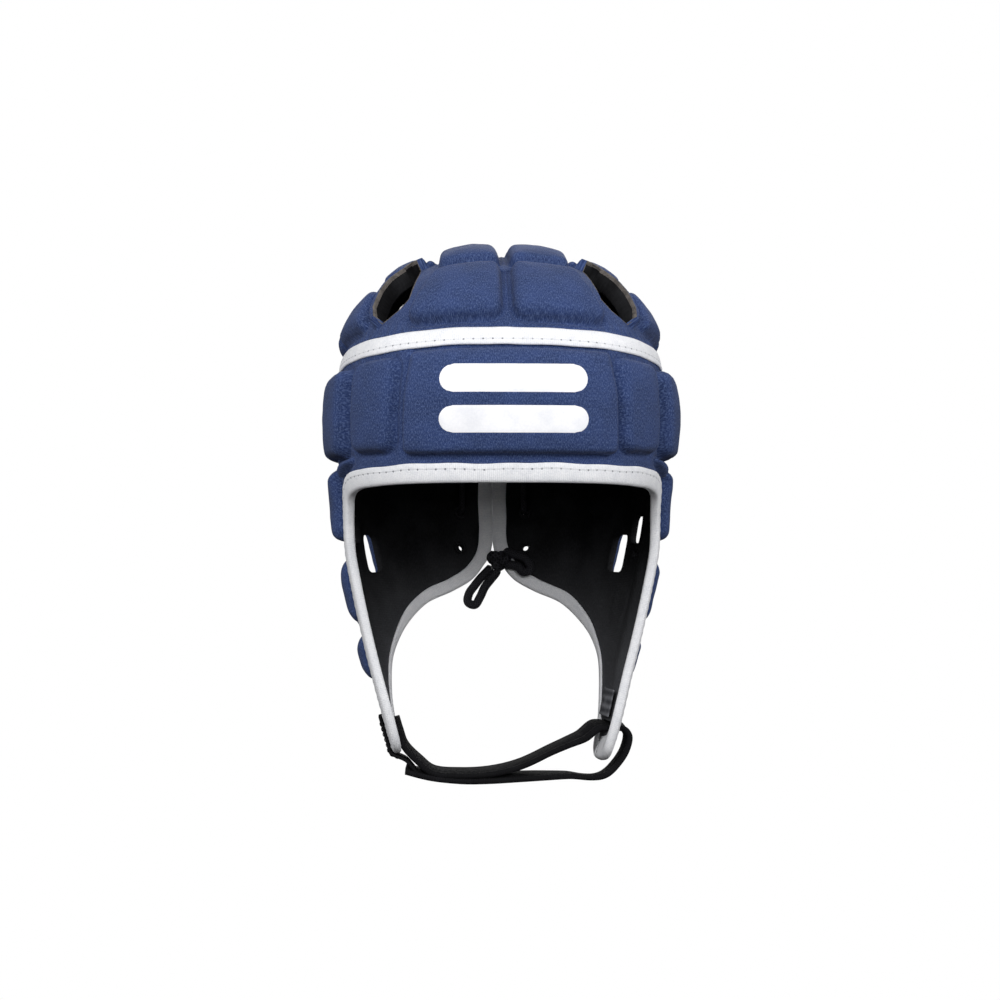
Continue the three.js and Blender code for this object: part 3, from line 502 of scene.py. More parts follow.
class Channel:
    """A number that varies over a surface; Python's operators add its Math nodes."""

    def __init__(self, tree: ShaderTree, socket: bpy.types.NodeSocket) -> None:
        """Wraps an output socket."""
        self.tree = tree
        self.socket = socket

    def maths(self, operation: str, *values: Any) -> Channel:
        """Adds a Math node."""
        inputs = dict(enumerate(values))
        return self.tree.node("ShaderNodeMath", {"operation": operation}, inputs)

    def __add__(self, other: Any) -> Channel:
        """Sum."""
        return self.maths("ADD", self, other)

    def __radd__(self, other: Any) -> Channel:
        """Sum with a number in front."""
        return self.maths("ADD", other, self)

    def __sub__(self, other: Any) -> Channel:
        """Difference."""
        return self.maths("SUBTRACT", self, other)

    def __rsub__(self, other: Any) -> Channel:
        """Difference from a number."""
        return self.maths("SUBTRACT", other, self)

    def __mul__(self, other: Any) -> Channel:
        """Product."""
        return self.maths("MULTIPLY", self, other)

    def __rmul__(self, other: Any) -> Channel:
        """Product with a number in front."""
        return self.maths("MULTIPLY", other, self)

    def __truediv__(self, other: Any) -> Channel:
        """Quotient."""
        return self.maths("DIVIDE", self, other)

    def __pow__(self, other: Any) -> Channel:
        """Power."""
        return self.maths("POWER", self, other)

    def __abs__(self) -> Channel:
        """Size without sign."""
        return self.maths("ABSOLUTE", self)

    def sine(self) -> Channel:
        """Sine."""
        return self.maths("SINE", self)

    def most(self, other: Any) -> Channel:
        """The larger of two."""
        return self.maths("MAXIMUM", self, other)

    def wave(self, pitch: float) -> Channel:
        """A wave of 0 to 1 that repeats each pitch."""
        return (self * (TURN / pitch)).sine() * 0.5 + 0.5

    def within(self, low: float, high: float) -> Channel:
        """Smooth rise from 0 at low to 1 at high."""
        settings = {"interpolation_type": "SMOOTHSTEP"}
        return self.tree.node("ShaderNodeMapRange", settings, {0: self, 1: low, 2: high, 3: 0.0, 4: 1.0})

    def repeat(self, pitch: float) -> Channel:
        """Distance from the middle of the nearest stretch of one pitch."""
        cell = self.maths("FRACT", self / pitch)
        return abs(cell - 0.5) * pitch


class ShaderTree:
    """A material's nodes."""

    def __init__(self, name: str) -> None:
        """Starts a material with an empty tree.

        Args:
            name: Name of the material.
        """
        self.material = bpy.data.materials.new(name)
        self.material.use_nodes = True
        self.nodes = self.material.node_tree.nodes
        self.links = self.material.node_tree.links
        self.nodes.clear()

    def add(self, kind: str, settings: dict[str, Any], inputs: dict[Any, Any]) -> bpy.types.Node:
        """Adds a node.

        Args:
            kind: The node's type.
            settings: Its properties, set first.
            inputs: Values or links of its sockets, by name or number.

        Returns:
            The node.
        """
        node = self.nodes.new(kind)
        for key, value in settings.items():
            setattr(node, key, value)
        for key, value in inputs.items():
            socket = node.inputs[key]
            source = value.socket if isinstance(value, Channel) else value
            if isinstance(source, bpy.types.NodeSocket):
                self.links.new(source, socket)
            elif isinstance(source, tuple) and socket.type == "RGBA" and len(source) == 3:
                socket.default_value = (*source, 1.0)
            else:
                socket.default_value = source
        return node

    def node(self, kind: str, settings: dict[str, Any], inputs: dict[Any, Any], output: Any = 0) -> Channel:
        """Adds a node and gives one of its outputs."""
        return Channel(self, self.add(kind, settings, inputs).outputs[output])

    def place(self) -> Channel:
        """Coordinates on the object, in metres."""
        return self.node("ShaderNodeTexCoord", {}, {}, "Object")

    def weave_axes(self) -> tuple[Channel, Channel]:
        """Coordinates along the cloth, in millimetres."""
        coords = self.node("ShaderNodeUVMap", {"uv_map": "weave"}, {})
        split = self.add("ShaderNodeSeparateXYZ", {}, {0: coords})
        u, v = (Channel(self, split.outputs[k]) for k in (0, 1))
        return u / MM, v / MM

    def noise(self, size: float, detail: float) -> Channel:
        """Noise with blotches of a size in millimetres and so many octaves."""
        inputs = {"Vector": self.place(), "Scale": 1 / (size * MM), "Detail": detail}
        return self.node("ShaderNodeTexNoise", {}, inputs)

    def stretched(self, u: Channel, v: Channel, across: float, along: float) -> Channel:
        """Noise drawn out along the cloth."""
        vector = self.node("ShaderNodeCombineXYZ", {}, {0: u / across, 1: v / along, 2: 0.0})
        return self.node("ShaderNodeTexNoise", {}, {"Vector": vector, "Scale": 1.0, "Detail": 2.0})

    def mix(self, factor: Channel, first: Any, second: Any) -> Channel:
        """Mixes two colours."""
        settings = {"data_type": "RGBA"}
        return self.node("ShaderNodeMix", settings, {0: factor, 6: first, 7: second}, 2)

    def finish(
        self, colour: Channel, roughness: Any, height: Channel, depth: float, **fixed: float
    ) -> Finish:
        """Ends the tree in a Principled shader.

        Args:
            colour: Base colour.
            roughness: Roughness or link.
            height: Relief of 0 to 1.
            depth: Millimetres of relief.
            fixed: Other sockets' values, with _ for a space.

        Returns:
            The material.
        """
        bump = {"Height": height, "Strength": 1.0, "Distance": depth * MM}
        normal = self.node("ShaderNodeBump", {}, bump)
        inputs: dict[str, Any] = {"Base Color": colour, "Roughness": roughness, "Normal": normal}
        inputs |= {key.replace("_", " "): value for key, value in fixed.items()}
        shader = self.add("ShaderNodeBsdfPrincipled", {}, inputs)
        self.add("ShaderNodeOutputMaterial", {}, {0: shader.outputs[0]})
        return self.material


def srgb(code: str) -> tuple[float, float, float]:
    """Linear colour of a six-figure hex code."""
    values = [int(code[i : i + 2], 16) / 255 for i in (0, 2, 4)]
    linear = [v / 12.92 if v <= 0.04045 else ((v + 0.055) / 1.055) ** 2.4 for v in values]
    return (linear[0], linear[1], linear[2])


@dataclass(frozen=True)
class HeatheredKnit:
    """Marled jersey: three shades of yarn, fine wales and a soft sheen."""

    name: str = "navy_knit"
    dark: str = "15254b"
    mid: str = "233564"
    light: str = "5f729f"
    pitch: float = 0.95
    depth: float = 0.1
    flecks: float = 0.75

    def material(self) -> Finish:
        """Builds the material."""
        tree = ShaderTree(self.name)
        u, v = tree.weave_axes()
        broad = tree.noise(14.0, 3.0).within(0.3, 0.72)
        flecks = tree.stretched(u, v, 0.42, 1.15).within(0.42, 0.68)
        rows = tree.stretched(v, u, 0.5, 7.0).within(0.35, 0.7)
        grain = tree.stretched(v + 40.0, u, 0.34, 0.5).within(0.38, 0.7)
        base = tree.mix(broad * 0.6 + rows * 0.4, srgb(self.dark), srgb(self.mid))
        colour = tree.mix((flecks * 0.5 + grain * 0.35) * self.flecks, base, srgb(self.light))
        loops = u.wave(self.pitch) * (v + abs(u.repeat(self.pitch)) * 0.9).wave(self.pitch * 0.85)
        height = loops * 0.6 + grain * 0.4
        rough = 0.82 + grain * 0.12
        fixed = {"Sheen_Weight": 0.04, "Sheen_Roughness": 0.5, "Specular_IOR_Level": 0.2}
        return tree.finish(colour, rough, height, self.depth, **fixed)


@dataclass(frozen=True)
class RibbedTape:
    """Elastic tape with fine cross ribs and a row of needle holes."""

    name: str = "white_tape"
    light: str = "f3f3f5"
    shade: str = "c9ccd4"
    hole: str = "6d7079"
    rib: float = 0.9
    hole_pitch: float = 4.4
    hole_line: float = 3.0
    hole_radius: float = 0.4

    def material(self) -> Finish:
        """Builds the material."""
        tree = ShaderTree(self.name)
        u, v = tree.weave_axes()
        ribs = u.wave(self.rib)
        weft = v.wave(0.55)
        cloud = tree.noise(5.0, 3.0).within(0.3, 0.75)
        dash = (u.repeat(self.hole_pitch) ** 2.0 + (v - self.hole_line) ** 2.0) ** 0.5
        holes = 1.0 - dash.within(self.hole_radius * 0.6, self.hole_radius * 1.6)
        strength = tree.noise(7.0, 2.0).within(0.3, 0.6) * 0.6 + 0.35
        line = 1.0 - abs(v - self.hole_line).within(0.1, 0.6)
        grain = tree.noise(0.7, 3.0).within(0.35, 0.7)
        base = tree.mix(ribs * 0.2 + cloud * 0.22 + grain * 0.3, srgb(self.light), srgb(self.shade))
        colour = tree.mix((holes * strength).most(line * 0.14), base, srgb(self.hole))
        height = ribs * 0.4 + weft * 0.15 + grain * 0.35 - holes * 0.9 - line * 0.5
        return tree.finish(colour, 0.78, height, 0.16, Sheen_Weight=0.1, Sheen_Roughness=0.5)


@dataclass(frozen=True)
class LiningKnit:
    """Smooth charcoal lining with painted light: lighter grey low down, where light would reach in at the
    open lower edge, and near black higher up as painted shade.
    """

    name: str = "charcoal_lining"
    dark: str = "0b0b0d"
    # light: painted light, the grey that the lower lining is mixed towards.
    light: str = "58595d"

    def material(self) -> Finish:
        """Builds the material."""
        tree = ShaderTree(self.name)
        u, v = tree.weave_axes()
        split = tree.add("ShaderNodeSeparateXYZ", {}, {0: tree.place()})
        # Painted light: from 130 mm to 235 mm below the crown the colour turns from near black to light grey,
        # standing in for light reaching in at the lower edge.
        low = (Channel(tree, split.outputs[2]) * -1000.0).within(130.0, 235.0)
        grain = tree.stretched(u, v, 0.7, 1.6).within(0.4, 0.7)
        cloud = tree.noise(18.0, 3.0).within(0.35, 0.7)
        share = low * 0.7 + grain * 0.2 * (low + 0.2) + cloud * 0.1
        colour = tree.mix(share, srgb(self.dark), srgb(self.light))
        height = u.wave(1.1) * v.wave(0.9) + grain * 0.5
        return tree.finish(colour, 0.9, height, 0.08, Specular_IOR_Level=0.1)


@dataclass(frozen=True)
class Webbing:
    """Woven or brushed webbing with cross ribs."""

    name: str
    dark: str
    light: str
    rib: float = 1.3
    fuzz: float = 0.5
    depth: float = 0.2

    def material(self) -> Finish:
        """Builds the material."""
        tree = ShaderTree(self.name)
        u, v = tree.weave_axes()
        ribs = u.wave(self.rib)
        cross = (v + ribs * 0.3).wave(self.rib * 0.8)
        pile = tree.noise(0.6, 3.0).within(0.35, 0.7)
        wear = tree.noise(9.0, 3.0).within(0.45, 0.75)
        mask = ribs * 0.3 + pile * self.fuzz * 0.6 + wear * 0.25
        colour = tree.mix(mask, srgb(self.dark), srgb(self.light))
        height = ribs * (1 - self.fuzz) + cross * 0.3 + pile * self.fuzz
        return tree.finish(colour, 0.85, height, self.depth, Specular_IOR_Level=0.14)


@dataclass(frozen=True)
class BraidedCord:
    """Round cord with a diagonal braid."""

    name: str = "black_cord"
    dark: str = "111113"
    light: str = "3a3a40"
    pitch: float = 1.5

    def material(self) -> Finish:
        """Builds the material."""
        tree = ShaderTree(self.name)
        u, v = tree.weave_axes()
        strands = (u + v).wave(self.pitch).most((u - v).wave(self.pitch))
        colour = tree.mix(strands ** 2.0 * 0.7, srgb(self.dark), srgb(self.light))
        return tree.finish(colour, 0.65, strands, 0.22, Specular_IOR_Level=0.15)


@dataclass(frozen=True)
class CutFoam:
    """Grey-brown foam, cut across, with fine pores."""

    name: str = "cut_foam"
    dark: str = "3b3735"
    light: str = "6f6964"

    def material(self) -> Finish:
        """Builds the material."""
        tree = ShaderTree(self.name)
        pores = tree.node("ShaderNodeTexVoronoi", {}, {"Vector": tree.place(), "Scale": 1300.0})
        cloud = tree.noise(4.0, 3.0).within(0.3, 0.7)
        colour = tree.mix(cloud * 0.6 + pores * 0.4, srgb(self.dark), srgb(self.light))
        return tree.finish(colour, 0.95, pores.within(0.1, 0.6), 0.25)


@dataclass(frozen=True)
class RubberPrint:
    """Thin white print with a trace of the knit under it."""

    name: str = "white_print"
    light: str = "f6f6f9"
    shade: str = "dfe1e8"

    def material(self) -> Finish:
        """Builds the material."""
        tree = ShaderTree(self.name)
        u, v = tree.weave_axes()
        grain = tree.noise(1.1, 2.0).within(0.35, 0.7)
        cloud = tree.noise(12.0, 2.0).within(0.4, 0.7)
        colour = tree.mix(cloud * 0.4 + grain * 0.2, srgb(self.light), srgb(self.shade))
        height = u.wave(0.95) * v.wave(0.8) * 0.5 + grain * 0.5
        return tree.finish(colour, 0.55 + grain * 0.12, height, 0.03, Specular_IOR_Level=0.25)


# Meshes


def make_object(
    name: str,
    points: Array,
    faces: Sequence[Sequence[int]],
    uvs: Array | None,
    material: Finish,
) -> Piece:
    """Makes a smooth mesh object from millimetre points, with the flaps spread.

    Args:
        name: Name of the object.
        points: Vertices in millimetres.
        faces: Vertex numbers of each face.
        uvs: Millimetres along the cloth for each face corner in order, or none.
        material: Its finish.

    Returns:
        The object.
    """
    mesh = bpy.data.meshes.new(name)
    settled = SPREAD.settle(np.asarray(points, float))
    mesh.from_pydata((settled * MM).tolist(), [], [list(f) for f in faces])
    if uvs is not None:
        layer = mesh.uv_layers.new(name="weave")
        layer.data.foreach_set("uv", (np.asarray(uvs, float) * MM).ravel())
    mesh.polygons.foreach_set("use_smooth", np.ones(len(mesh.polygons), bool))
    mesh.materials.append(material)
    mesh.update()
    piece = bpy.data.objects.new(name, mesh)
    bpy.context.scene.collection.objects.link(piece)
    return piece


def tidy_mesh(piece: Piece) -> None:
    """Drops loose and flat leftovers of a mesh.

    Args:
        piece: The object to clean.
    """
    work = bmesh.new()
    work.from_mesh(piece.data)
    bmesh.ops.remove_doubles(work, verts=work.verts, dist=0.02 * MM)
    bmesh.ops.dissolve_degenerate(work, edges=work.edges, dist=0.01 * MM)
    loose = [v for v in work.verts if not v.link_faces]
    bmesh.ops.delete(work, geom=loose, context="VERTS")
    work.to_mesh(piece.data)
    work.free()
    count = len(piece.data.polygons)
    piece.data.polygons.foreach_set("use_smooth", np.ones(count, bool))
    piece.data.update()


def skin(
    rings: Array, closed: bool, capped: bool, lengths: Array, arounds: Array
) -> tuple[list[list[int]], list[Point]]:
    """Faces through rings of points, with cloth coordinates.

    Args:
        rings: Array of rings, each a closed row of points.
        closed: Whether the last ring joins the first.
        capped: Whether open ends are closed.
        lengths: Millimetres along the sweep for each ring, and one more where it is closed.
        arounds: Millimetres round the section for each place, and one more for the way back.

    Returns:
        Faces, and one coordinate pair a face corner.
    """
    count, size = rings.shape[0], rings.shape[1]
    faces: list[list[int]] = []
    uvs: list[Point] = []
    for r in range(count if closed else count - 1):
        low, high = r * size, (r + 1) % count * size
        for i in range(size):
            j = (i + 1) % size
            faces.append([low + i, low + j, high + j, high + i])
            a, b = lengths[r], lengths[r + 1]
            uvs += [(a, arounds[i]), (a, arounds[i + 1]), (b, arounds[i + 1]), (b, arounds[i])]
    if capped and not closed:
        faces.append(list(range(size))[::-1])
        faces.append(list(range((count - 1) * size, count * size)))
        uvs += [(lengths[0], arounds[i]) for i in range(size)][::-1]
        uvs += [(lengths[-1], arounds[i]) for i in range(size)]
    return faces, uvs


def swept(name: str, rings: Array, closed: bool, lengths: Array, arounds: Array, material: Finish) -> Piece:
    """Makes an object of rings of points, with its open ends closed."""
    faces, uvs = skin(rings, closed, not closed, lengths, arounds)
    return make_object(name, rings.reshape(-1, 3), faces, np.array(uvs), material)


@dataclass
class MeshParts:
    """Several small meshes that become one object."""

    vertices: list[Array] = field(default_factory=list)
    faces: list[list[int]] = field(default_factory=list)
    uvs: list[Point] = field(default_factory=list)

    def add(self, points: Array, faces: list[list[int]], uvs: list[Point]) -> None:
        """Adds one mesh.

        Args:
            points: Its vertices.
            faces: Vertex numbers of its faces.
            uvs: One coordinate pair a face corner.
        """
        base = sum(len(v) for v in self.vertices)
        self.vertices.append(points.reshape(-1, 3))
        self.faces += [[k + base for k in face] for face in faces]
        self.uvs += uvs

    def build(self, name: str, material: Finish) -> Piece:
        """Makes the object."""
        return make_object(name, np.vstack(self.vertices), self.faces, np.array(self.uvs), material)


def tube_rings(path: Array, radius: float, sides: int) -> Array:
    """Rings of a round cord along a path.

    Args:
        path: Points of the path.
        radius: Radius of the cord.
        sides: Points a ring.

    Returns:
        The rings.
    """
    tangents = unit(np.gradient(path, axis=0))
    side = unit(np.cross(tangents[0], [0.3, 0.2, 1.0]))
    rings = []
    angles = (np.arange(sides) / sides * TURN)[:, None]
    for point, tangent in zip(path, tangents):
        side = unit(side - tangent * side.dot(tangent))
        up = np.cross(tangent, side)
        rings.append(point + radius * (np.cos(angles) * side + np.sin(angles) * up))
    return np.array(rings)


def cord_object(name: str, path: Array, radius: float, material: Finish) -> Piece:
    """Makes a round cord with rounded ends.

    Args:
        name: Name of the object.
        path: Points of the path in millimetres.
        radius: Radius of the cord.
        material: Its finish.

    Returns:
        The object.
    """
    sides, end_share = 14, 0.72
    rings = tube_rings(path, radius, sides)
    for end in (0, -1):
        middle = rings[end].mean(0)
        rings[end] = middle + (rings[end] - middle) * end_share
    arounds = np.linspace(0, TURN * radius, sides + 1)
    return swept(name, rings, False, run_lengths(path, False), arounds, material)


# Padding


@dataclass(frozen=True)
class Pad:
    """One foam block under the knit: a quad on a chart with rounded corners."""

    corners: Quad
    chart: Chart
    relief: float = 1.0
    corner: float = 5.5
    shoulder: float = 4.8
    soft_top: float = 0.0

    def mirrored(self) -> Pad:
        """The same block on the other side of the cap."""
        return replace(self, corners=[(-u, v) for u, v in self.corners])

    def spots(self, shares: Array) -> Array:
        """Chart values at shares of the quad.

        Args:
            shares: Pairs from 0 to 1.

        Returns:
            Pairs of chart values.
        """
        a, b, c, d = (np.array(p, float) for p in self.corners)
        u, v = shares[..., :1], shares[..., 1:]
        return (a * (1 - u) + b * u) * (1 - v) + (d * (1 - u) + c * u) * v

    def outline(self) -> tuple[Array, Array]:
        """Chart values and points of the rounded outline."""
        sides = np.array([[0, 0.5], [1, 0.5], [0.5, 0], [0.5, 1]])
        middles = self.chart.place(self.spots(sides))
        wide = float(np.linalg.norm(middles[1] - middles[0]))
        tall = float(np.linalg.norm(middles[3] - middles[2]))
        spots = self.spots(rounded_shares(wide, tall, self.corner, 0.6))
        return spots, self.chart.place(spots)

    def depth_inside(self, feet: Array, reach: float) -> Array:
        """Distance from the outline, positive inside the block.

        Args:
            feet: Points of the form.
            reach: How far from the outline it is worked out.

        Returns:
            Distances; far points get -reach.
        """
        spots, points = self.outline()
        low, high = points.min(0) - reach, points.max(0) + reach
        near = np.all((feet > low) & (feet < high), axis=-1)
        result = np.full(feet.shape[:-1], -reach)
        if not near.any():
            return result
        chosen = feet[near]
        distance = np.full(len(chosen), 1e9)
        for start in range(0, len(points), 60):
            block = points[start : start + 60]
            gap = np.linalg.norm(chosen[:, None] - block[None], axis=2).min(1)
            distance = np.minimum(distance, gap)
        sign = np.where(inside(spots, self.chart.read(chosen)), 1.0, -1.0)
        result[near] = np.maximum(sign * distance, -reach)
        return result


@dataclass(frozen=True)
class Opening:
    """A hole cut through the cap: an outline on a chart."""

    spots: tuple[Point, ...]
    chart: Chart
    raised: tuple[int, int] | None = None

    def outline(self, step: float) -> tuple[Array, Array, Array]:
        """Chart values, points, and how far each stretch stands up.

        Args:
            step: Spacing of the points.

        Returns:
            Chart values, points of the form, and 1 where the rim is raised.
        """
        corners = np.array(self.spots, float)
        dense, raised = [], []
        for i, start in enumerate(corners):
            end = corners[(i + 1) % len(corners)]
            ends = self.chart.place(np.array([start, end]))
            count = max(1, int(np.linalg.norm(ends[1] - ends[0]) / step))
            shares = np.arange(count)[:, None] / count
            dense.append(start + (end - start) * shares)
            up = self.raised is not None and self.raised[0] <= i < self.raised[1]
            raised.append(np.full(count, float(up)))
        spots = np.vstack(dense)
        return spots, self.chart.place(spots), np.concatenate(raised)


@dataclass
class Padding:
    """Every foam block and opening of the cap, and the heights that they give."""

    pad_relief: float = 7.0
    knit_base: float = 4.3
    groove: float = 1.3
    groove_place: float = -0.9
    groove_spread: float = 1.1
    rim_height: float = 6.02
    rim_reach: tuple[float, float] = (2.4, 4.6)
    window_reach: tuple[float, float] = (0.5, 7.5)
    window_drop: float = 0.7
    eyelet_hole: float = 3.3
    columns: tuple[tuple[float, float, float, float], ...] = (
        (0.575, 0.41, -0.99, -0.645),
        (0.385, 0.375, -0.6, -0.105),
        (0.375, 0.375, -0.05, 0.32),
        (0.375, 0.375, 0.365, 0.635),
        (0.385, 0.54, 0.68, 0.96),
    )
    wall_rows: tuple[tuple[float, float, float, float, float, float], ...] = (
        (32.3, 51.2, 0.06, 0.78, 0.8, 1),
        (55.5, 83, 0.07, 0.8, 1.1, 2),
        (86.5, 116, 0.07, 0.8, 1.1, 0),
        (119.5, 143, 0.07, 0.92, 1, 0),
        (146.5, 166, 0.08, 0.92, 1, 0),
        (74, 96, 0.89, 1.22, 1, 3),
        (99, 120, 0.89, 1.07, 0.8, 0),
        (128, 147, 1.04, 1.38, 0.9, 0),
        (150, 163, 1.04, 1.3, 0.9, 0),
        (77, 99, 1.29, 1.52, 0.72, 2),
        (79, 100, 1.57, 1.73, 0.72, 2),
        (105, 124, 1.41, 1.56, 0.72, 3),
    )

    def crown_pads(self) -> list[Pad]:
        """Blocks of the crown."""
        pads = []
        for front, rear, q_front, q_rear in self.columns:
            corners = [(0.03, q_front), (front, q_front), (rear, q_rear), (0.03, q_rear)]
            pads.append(Pad(corners, Chart.COLUMN))
        shoulder = [(0.52, -0.44), (0.69, -0.4), (0.69, -0.03), (0.43, -0.03)]
        bridge = [(0.4, -0.25), (0.47, -0.25), (0.42, -0.03), (0.4, -0.03)]
        for q in (1, -1):
            pads.append(Pad([(x, q * y) for x, y in shoulder], Chart.COLUMN))
            pads.append(Pad([(x, q * y) for x, y in bridge], Chart.COLUMN, 0.5, 2.0, 3.0))
        pads.append(Pad([(66, 0.66), (88.5, 0.66), (88.5, 0.96), (53, 0.96)], Chart.SIDE))
        pads.append(Pad([(91.5, 0.66), (114, 0.66), (127, 0.96), (91.5, 0.96)], Chart.SIDE))
        return pads + [pad.mirrored() for pad in pads]

    def wall_pads(self) -> list[Pad]:
        """Blocks of the wall and flaps."""
        pads = []
        for start, end, top, low, relief, slant in self.wall_rows:
            corners = [(start, top), (end, top), (end, low), (start + slant, low)]
            soft = 9.5 if low > 1.45 else 6.5 if top > 0.5 else 5.0
            pads.append(Pad(corners, Chart.WALL, relief, 6.5, soft))
        pads.append(Pad([(53, 0.81), (65, 0.82), (69, 1), (60, 0.9)], Chart.WALL, 0.75, 5.0, 5.0))
        pads += [pad.mirrored() for pad in pads]
        forehead = [(-28.6, 0.03), (30.4, 0.03), (31, 0.8), (-29.4, 0.8)]
        pads.append(Pad(forehead, Chart.WALL, 0.9, 3.2, 2.8, 6.0))
        return pads

    def vents(self) -> list[Opening]:
        """The four openings of the crown."""
        outline = [
            (0.715, -0.93), (0.62, -0.87), (0.562, -0.8), (0.528, -0.62), (0.503, -0.47), (0.488, -0.29),
            (0.52, -0.28), (0.56, -0.42), (0.635, -0.475), (0.685, -0.62), (0.722, -0.82),
        ]  # fmt: skip
        holes = []
        for side in (1, -1):
            for end in (1, -1):
                spots = tuple((side * x, end * q) for x, q in outline)
                holes.append(Opening(spots, Chart.COLUMN, (5, 11)))
        return holes

    def ear_windows(self) -> list[Opening]:
        """The openings over the ears."""
        windows = [(15, 36, 129, 144, 4), (40, 56, 139, 160, 4), (19, 27, 147.5, 151.5, 1.2)]
        holes = []
        for chart in (Chart.FLAP, Chart.FLAP_MIRROR):
            for y0, y1, top, low, corner in windows:
                shares = rounded_shares(y1 - y0, low - top, corner, 1.0)
                spots = tuple((y0 + u * (y1 - y0), -top - v * (low - top)) for u, v in shares)
                holes.append(Opening(spots, chart))
        return holes

    def lace_holes(self) -> list[Opening]:
        """The holes of the eyelets."""
        turns = np.linspace(0, TURN, 28, endpoint=False)
        radius = self.eyelet_hole
        holes = []
        for z in EYELET_ROWS:
            for x in (-EYELET_REACH, EYELET_REACH):
                ring = tuple((x + radius * math.cos(t), z + radius * math.sin(t)) for t in turns)
                holes.append(Opening(ring, Chart.BACK))
        return holes

    def strap_slot(self) -> Opening:
        """The slot that the chin strap runs through."""
        y, z, half, tall = STRAP_Y, -233.5, 10.7, 2.4
        shares = rounded_shares(2 * half, 2 * tall, 1.2, 1.0)
        spots = tuple((y - half + 2 * half * u, z + tall - 2 * tall * v) for u, v in shares)
        return Opening(spots, Chart.FLAP)

    def block_height(self, pad: Pad, depth: Array, feet: Array) -> Array:
        """Relief of one block, without the stitched dip, which heights adds round it.

        Args:
            pad: The block.
            depth: Distance inside its outline.
            feet: Points of the form.

        Returns:
            Millimetres over the base.
        """
        shoulder = np.full(depth.shape, pad.shoulder)
        if pad.soft_top:
            z = pad.outline()[1][:, 2]
            middle, top = (z.min() + z.max()) / 2, z.max()
            shoulder = shoulder + pad.soft_top * smooth_step(middle, top, feet[..., 2])
        rise = np.clip((depth + 0.2) / shoulder, 0, 1)
        edge = np.sqrt(np.maximum(0.0, 1 - (1 - rise) ** 2.4)) ** 1.5
        pillow = 1 - np.exp(-np.maximum(depth, 0) / 8)
        return self.pad_relief * pad.relief * (0.8 * edge + 0.24 * pillow)

    def heights(self, feet: Array, pads: list[Pad], holes: list[Opening]) -> tuple[Array, Array]:
        """Heights of the knit over the form.

        Args:
            feet: Points of the form.
            pads: Blocks under it.
            holes: Openings near it.

        Returns:
            Heights, and how far inside a block each point lies.
        """
        relief = np.zeros(feet.shape[:-1])
        depth = np.full(feet.shape[:-1], -6.0)
        for pad in pads:
            own = pad.depth_inside(feet, 6.0)
            relief = np.maximum(relief, self.block_height(pad, own, feet))
            depth = np.maximum(depth, own)
        relief -= self.groove * np.exp(-(((depth - self.groove_place) / self.groove_spread) ** 2))
        for hole in holes:
            _, points, raised = hole.outline(0.8)
            low, high = points.min(0) - 9, points.max(0) + 9
            near = np.all((feet > low) & (feet < high), axis=-1)
            if not near.any():
                continue
            gaps = np.linalg.norm(feet[near][:, None] - points[None], axis=2)
            nearest = gaps.argmin(1)
            gap = gaps.min(1)
            if hole.raised is not None:
                ridge = raised[nearest] * (1 - smooth_step(*self.rim_reach, gap)) * self.rim_height
                relief[near] = np.maximum(relief[near], ridge)
            else:
                thin = 1 - smooth_step(*self.window_reach, gap)
                relief[near] = relief[near] * (1 - thin) - self.window_drop * thin
        return self.knit_base + relief, depth


# Sheets that follow the form


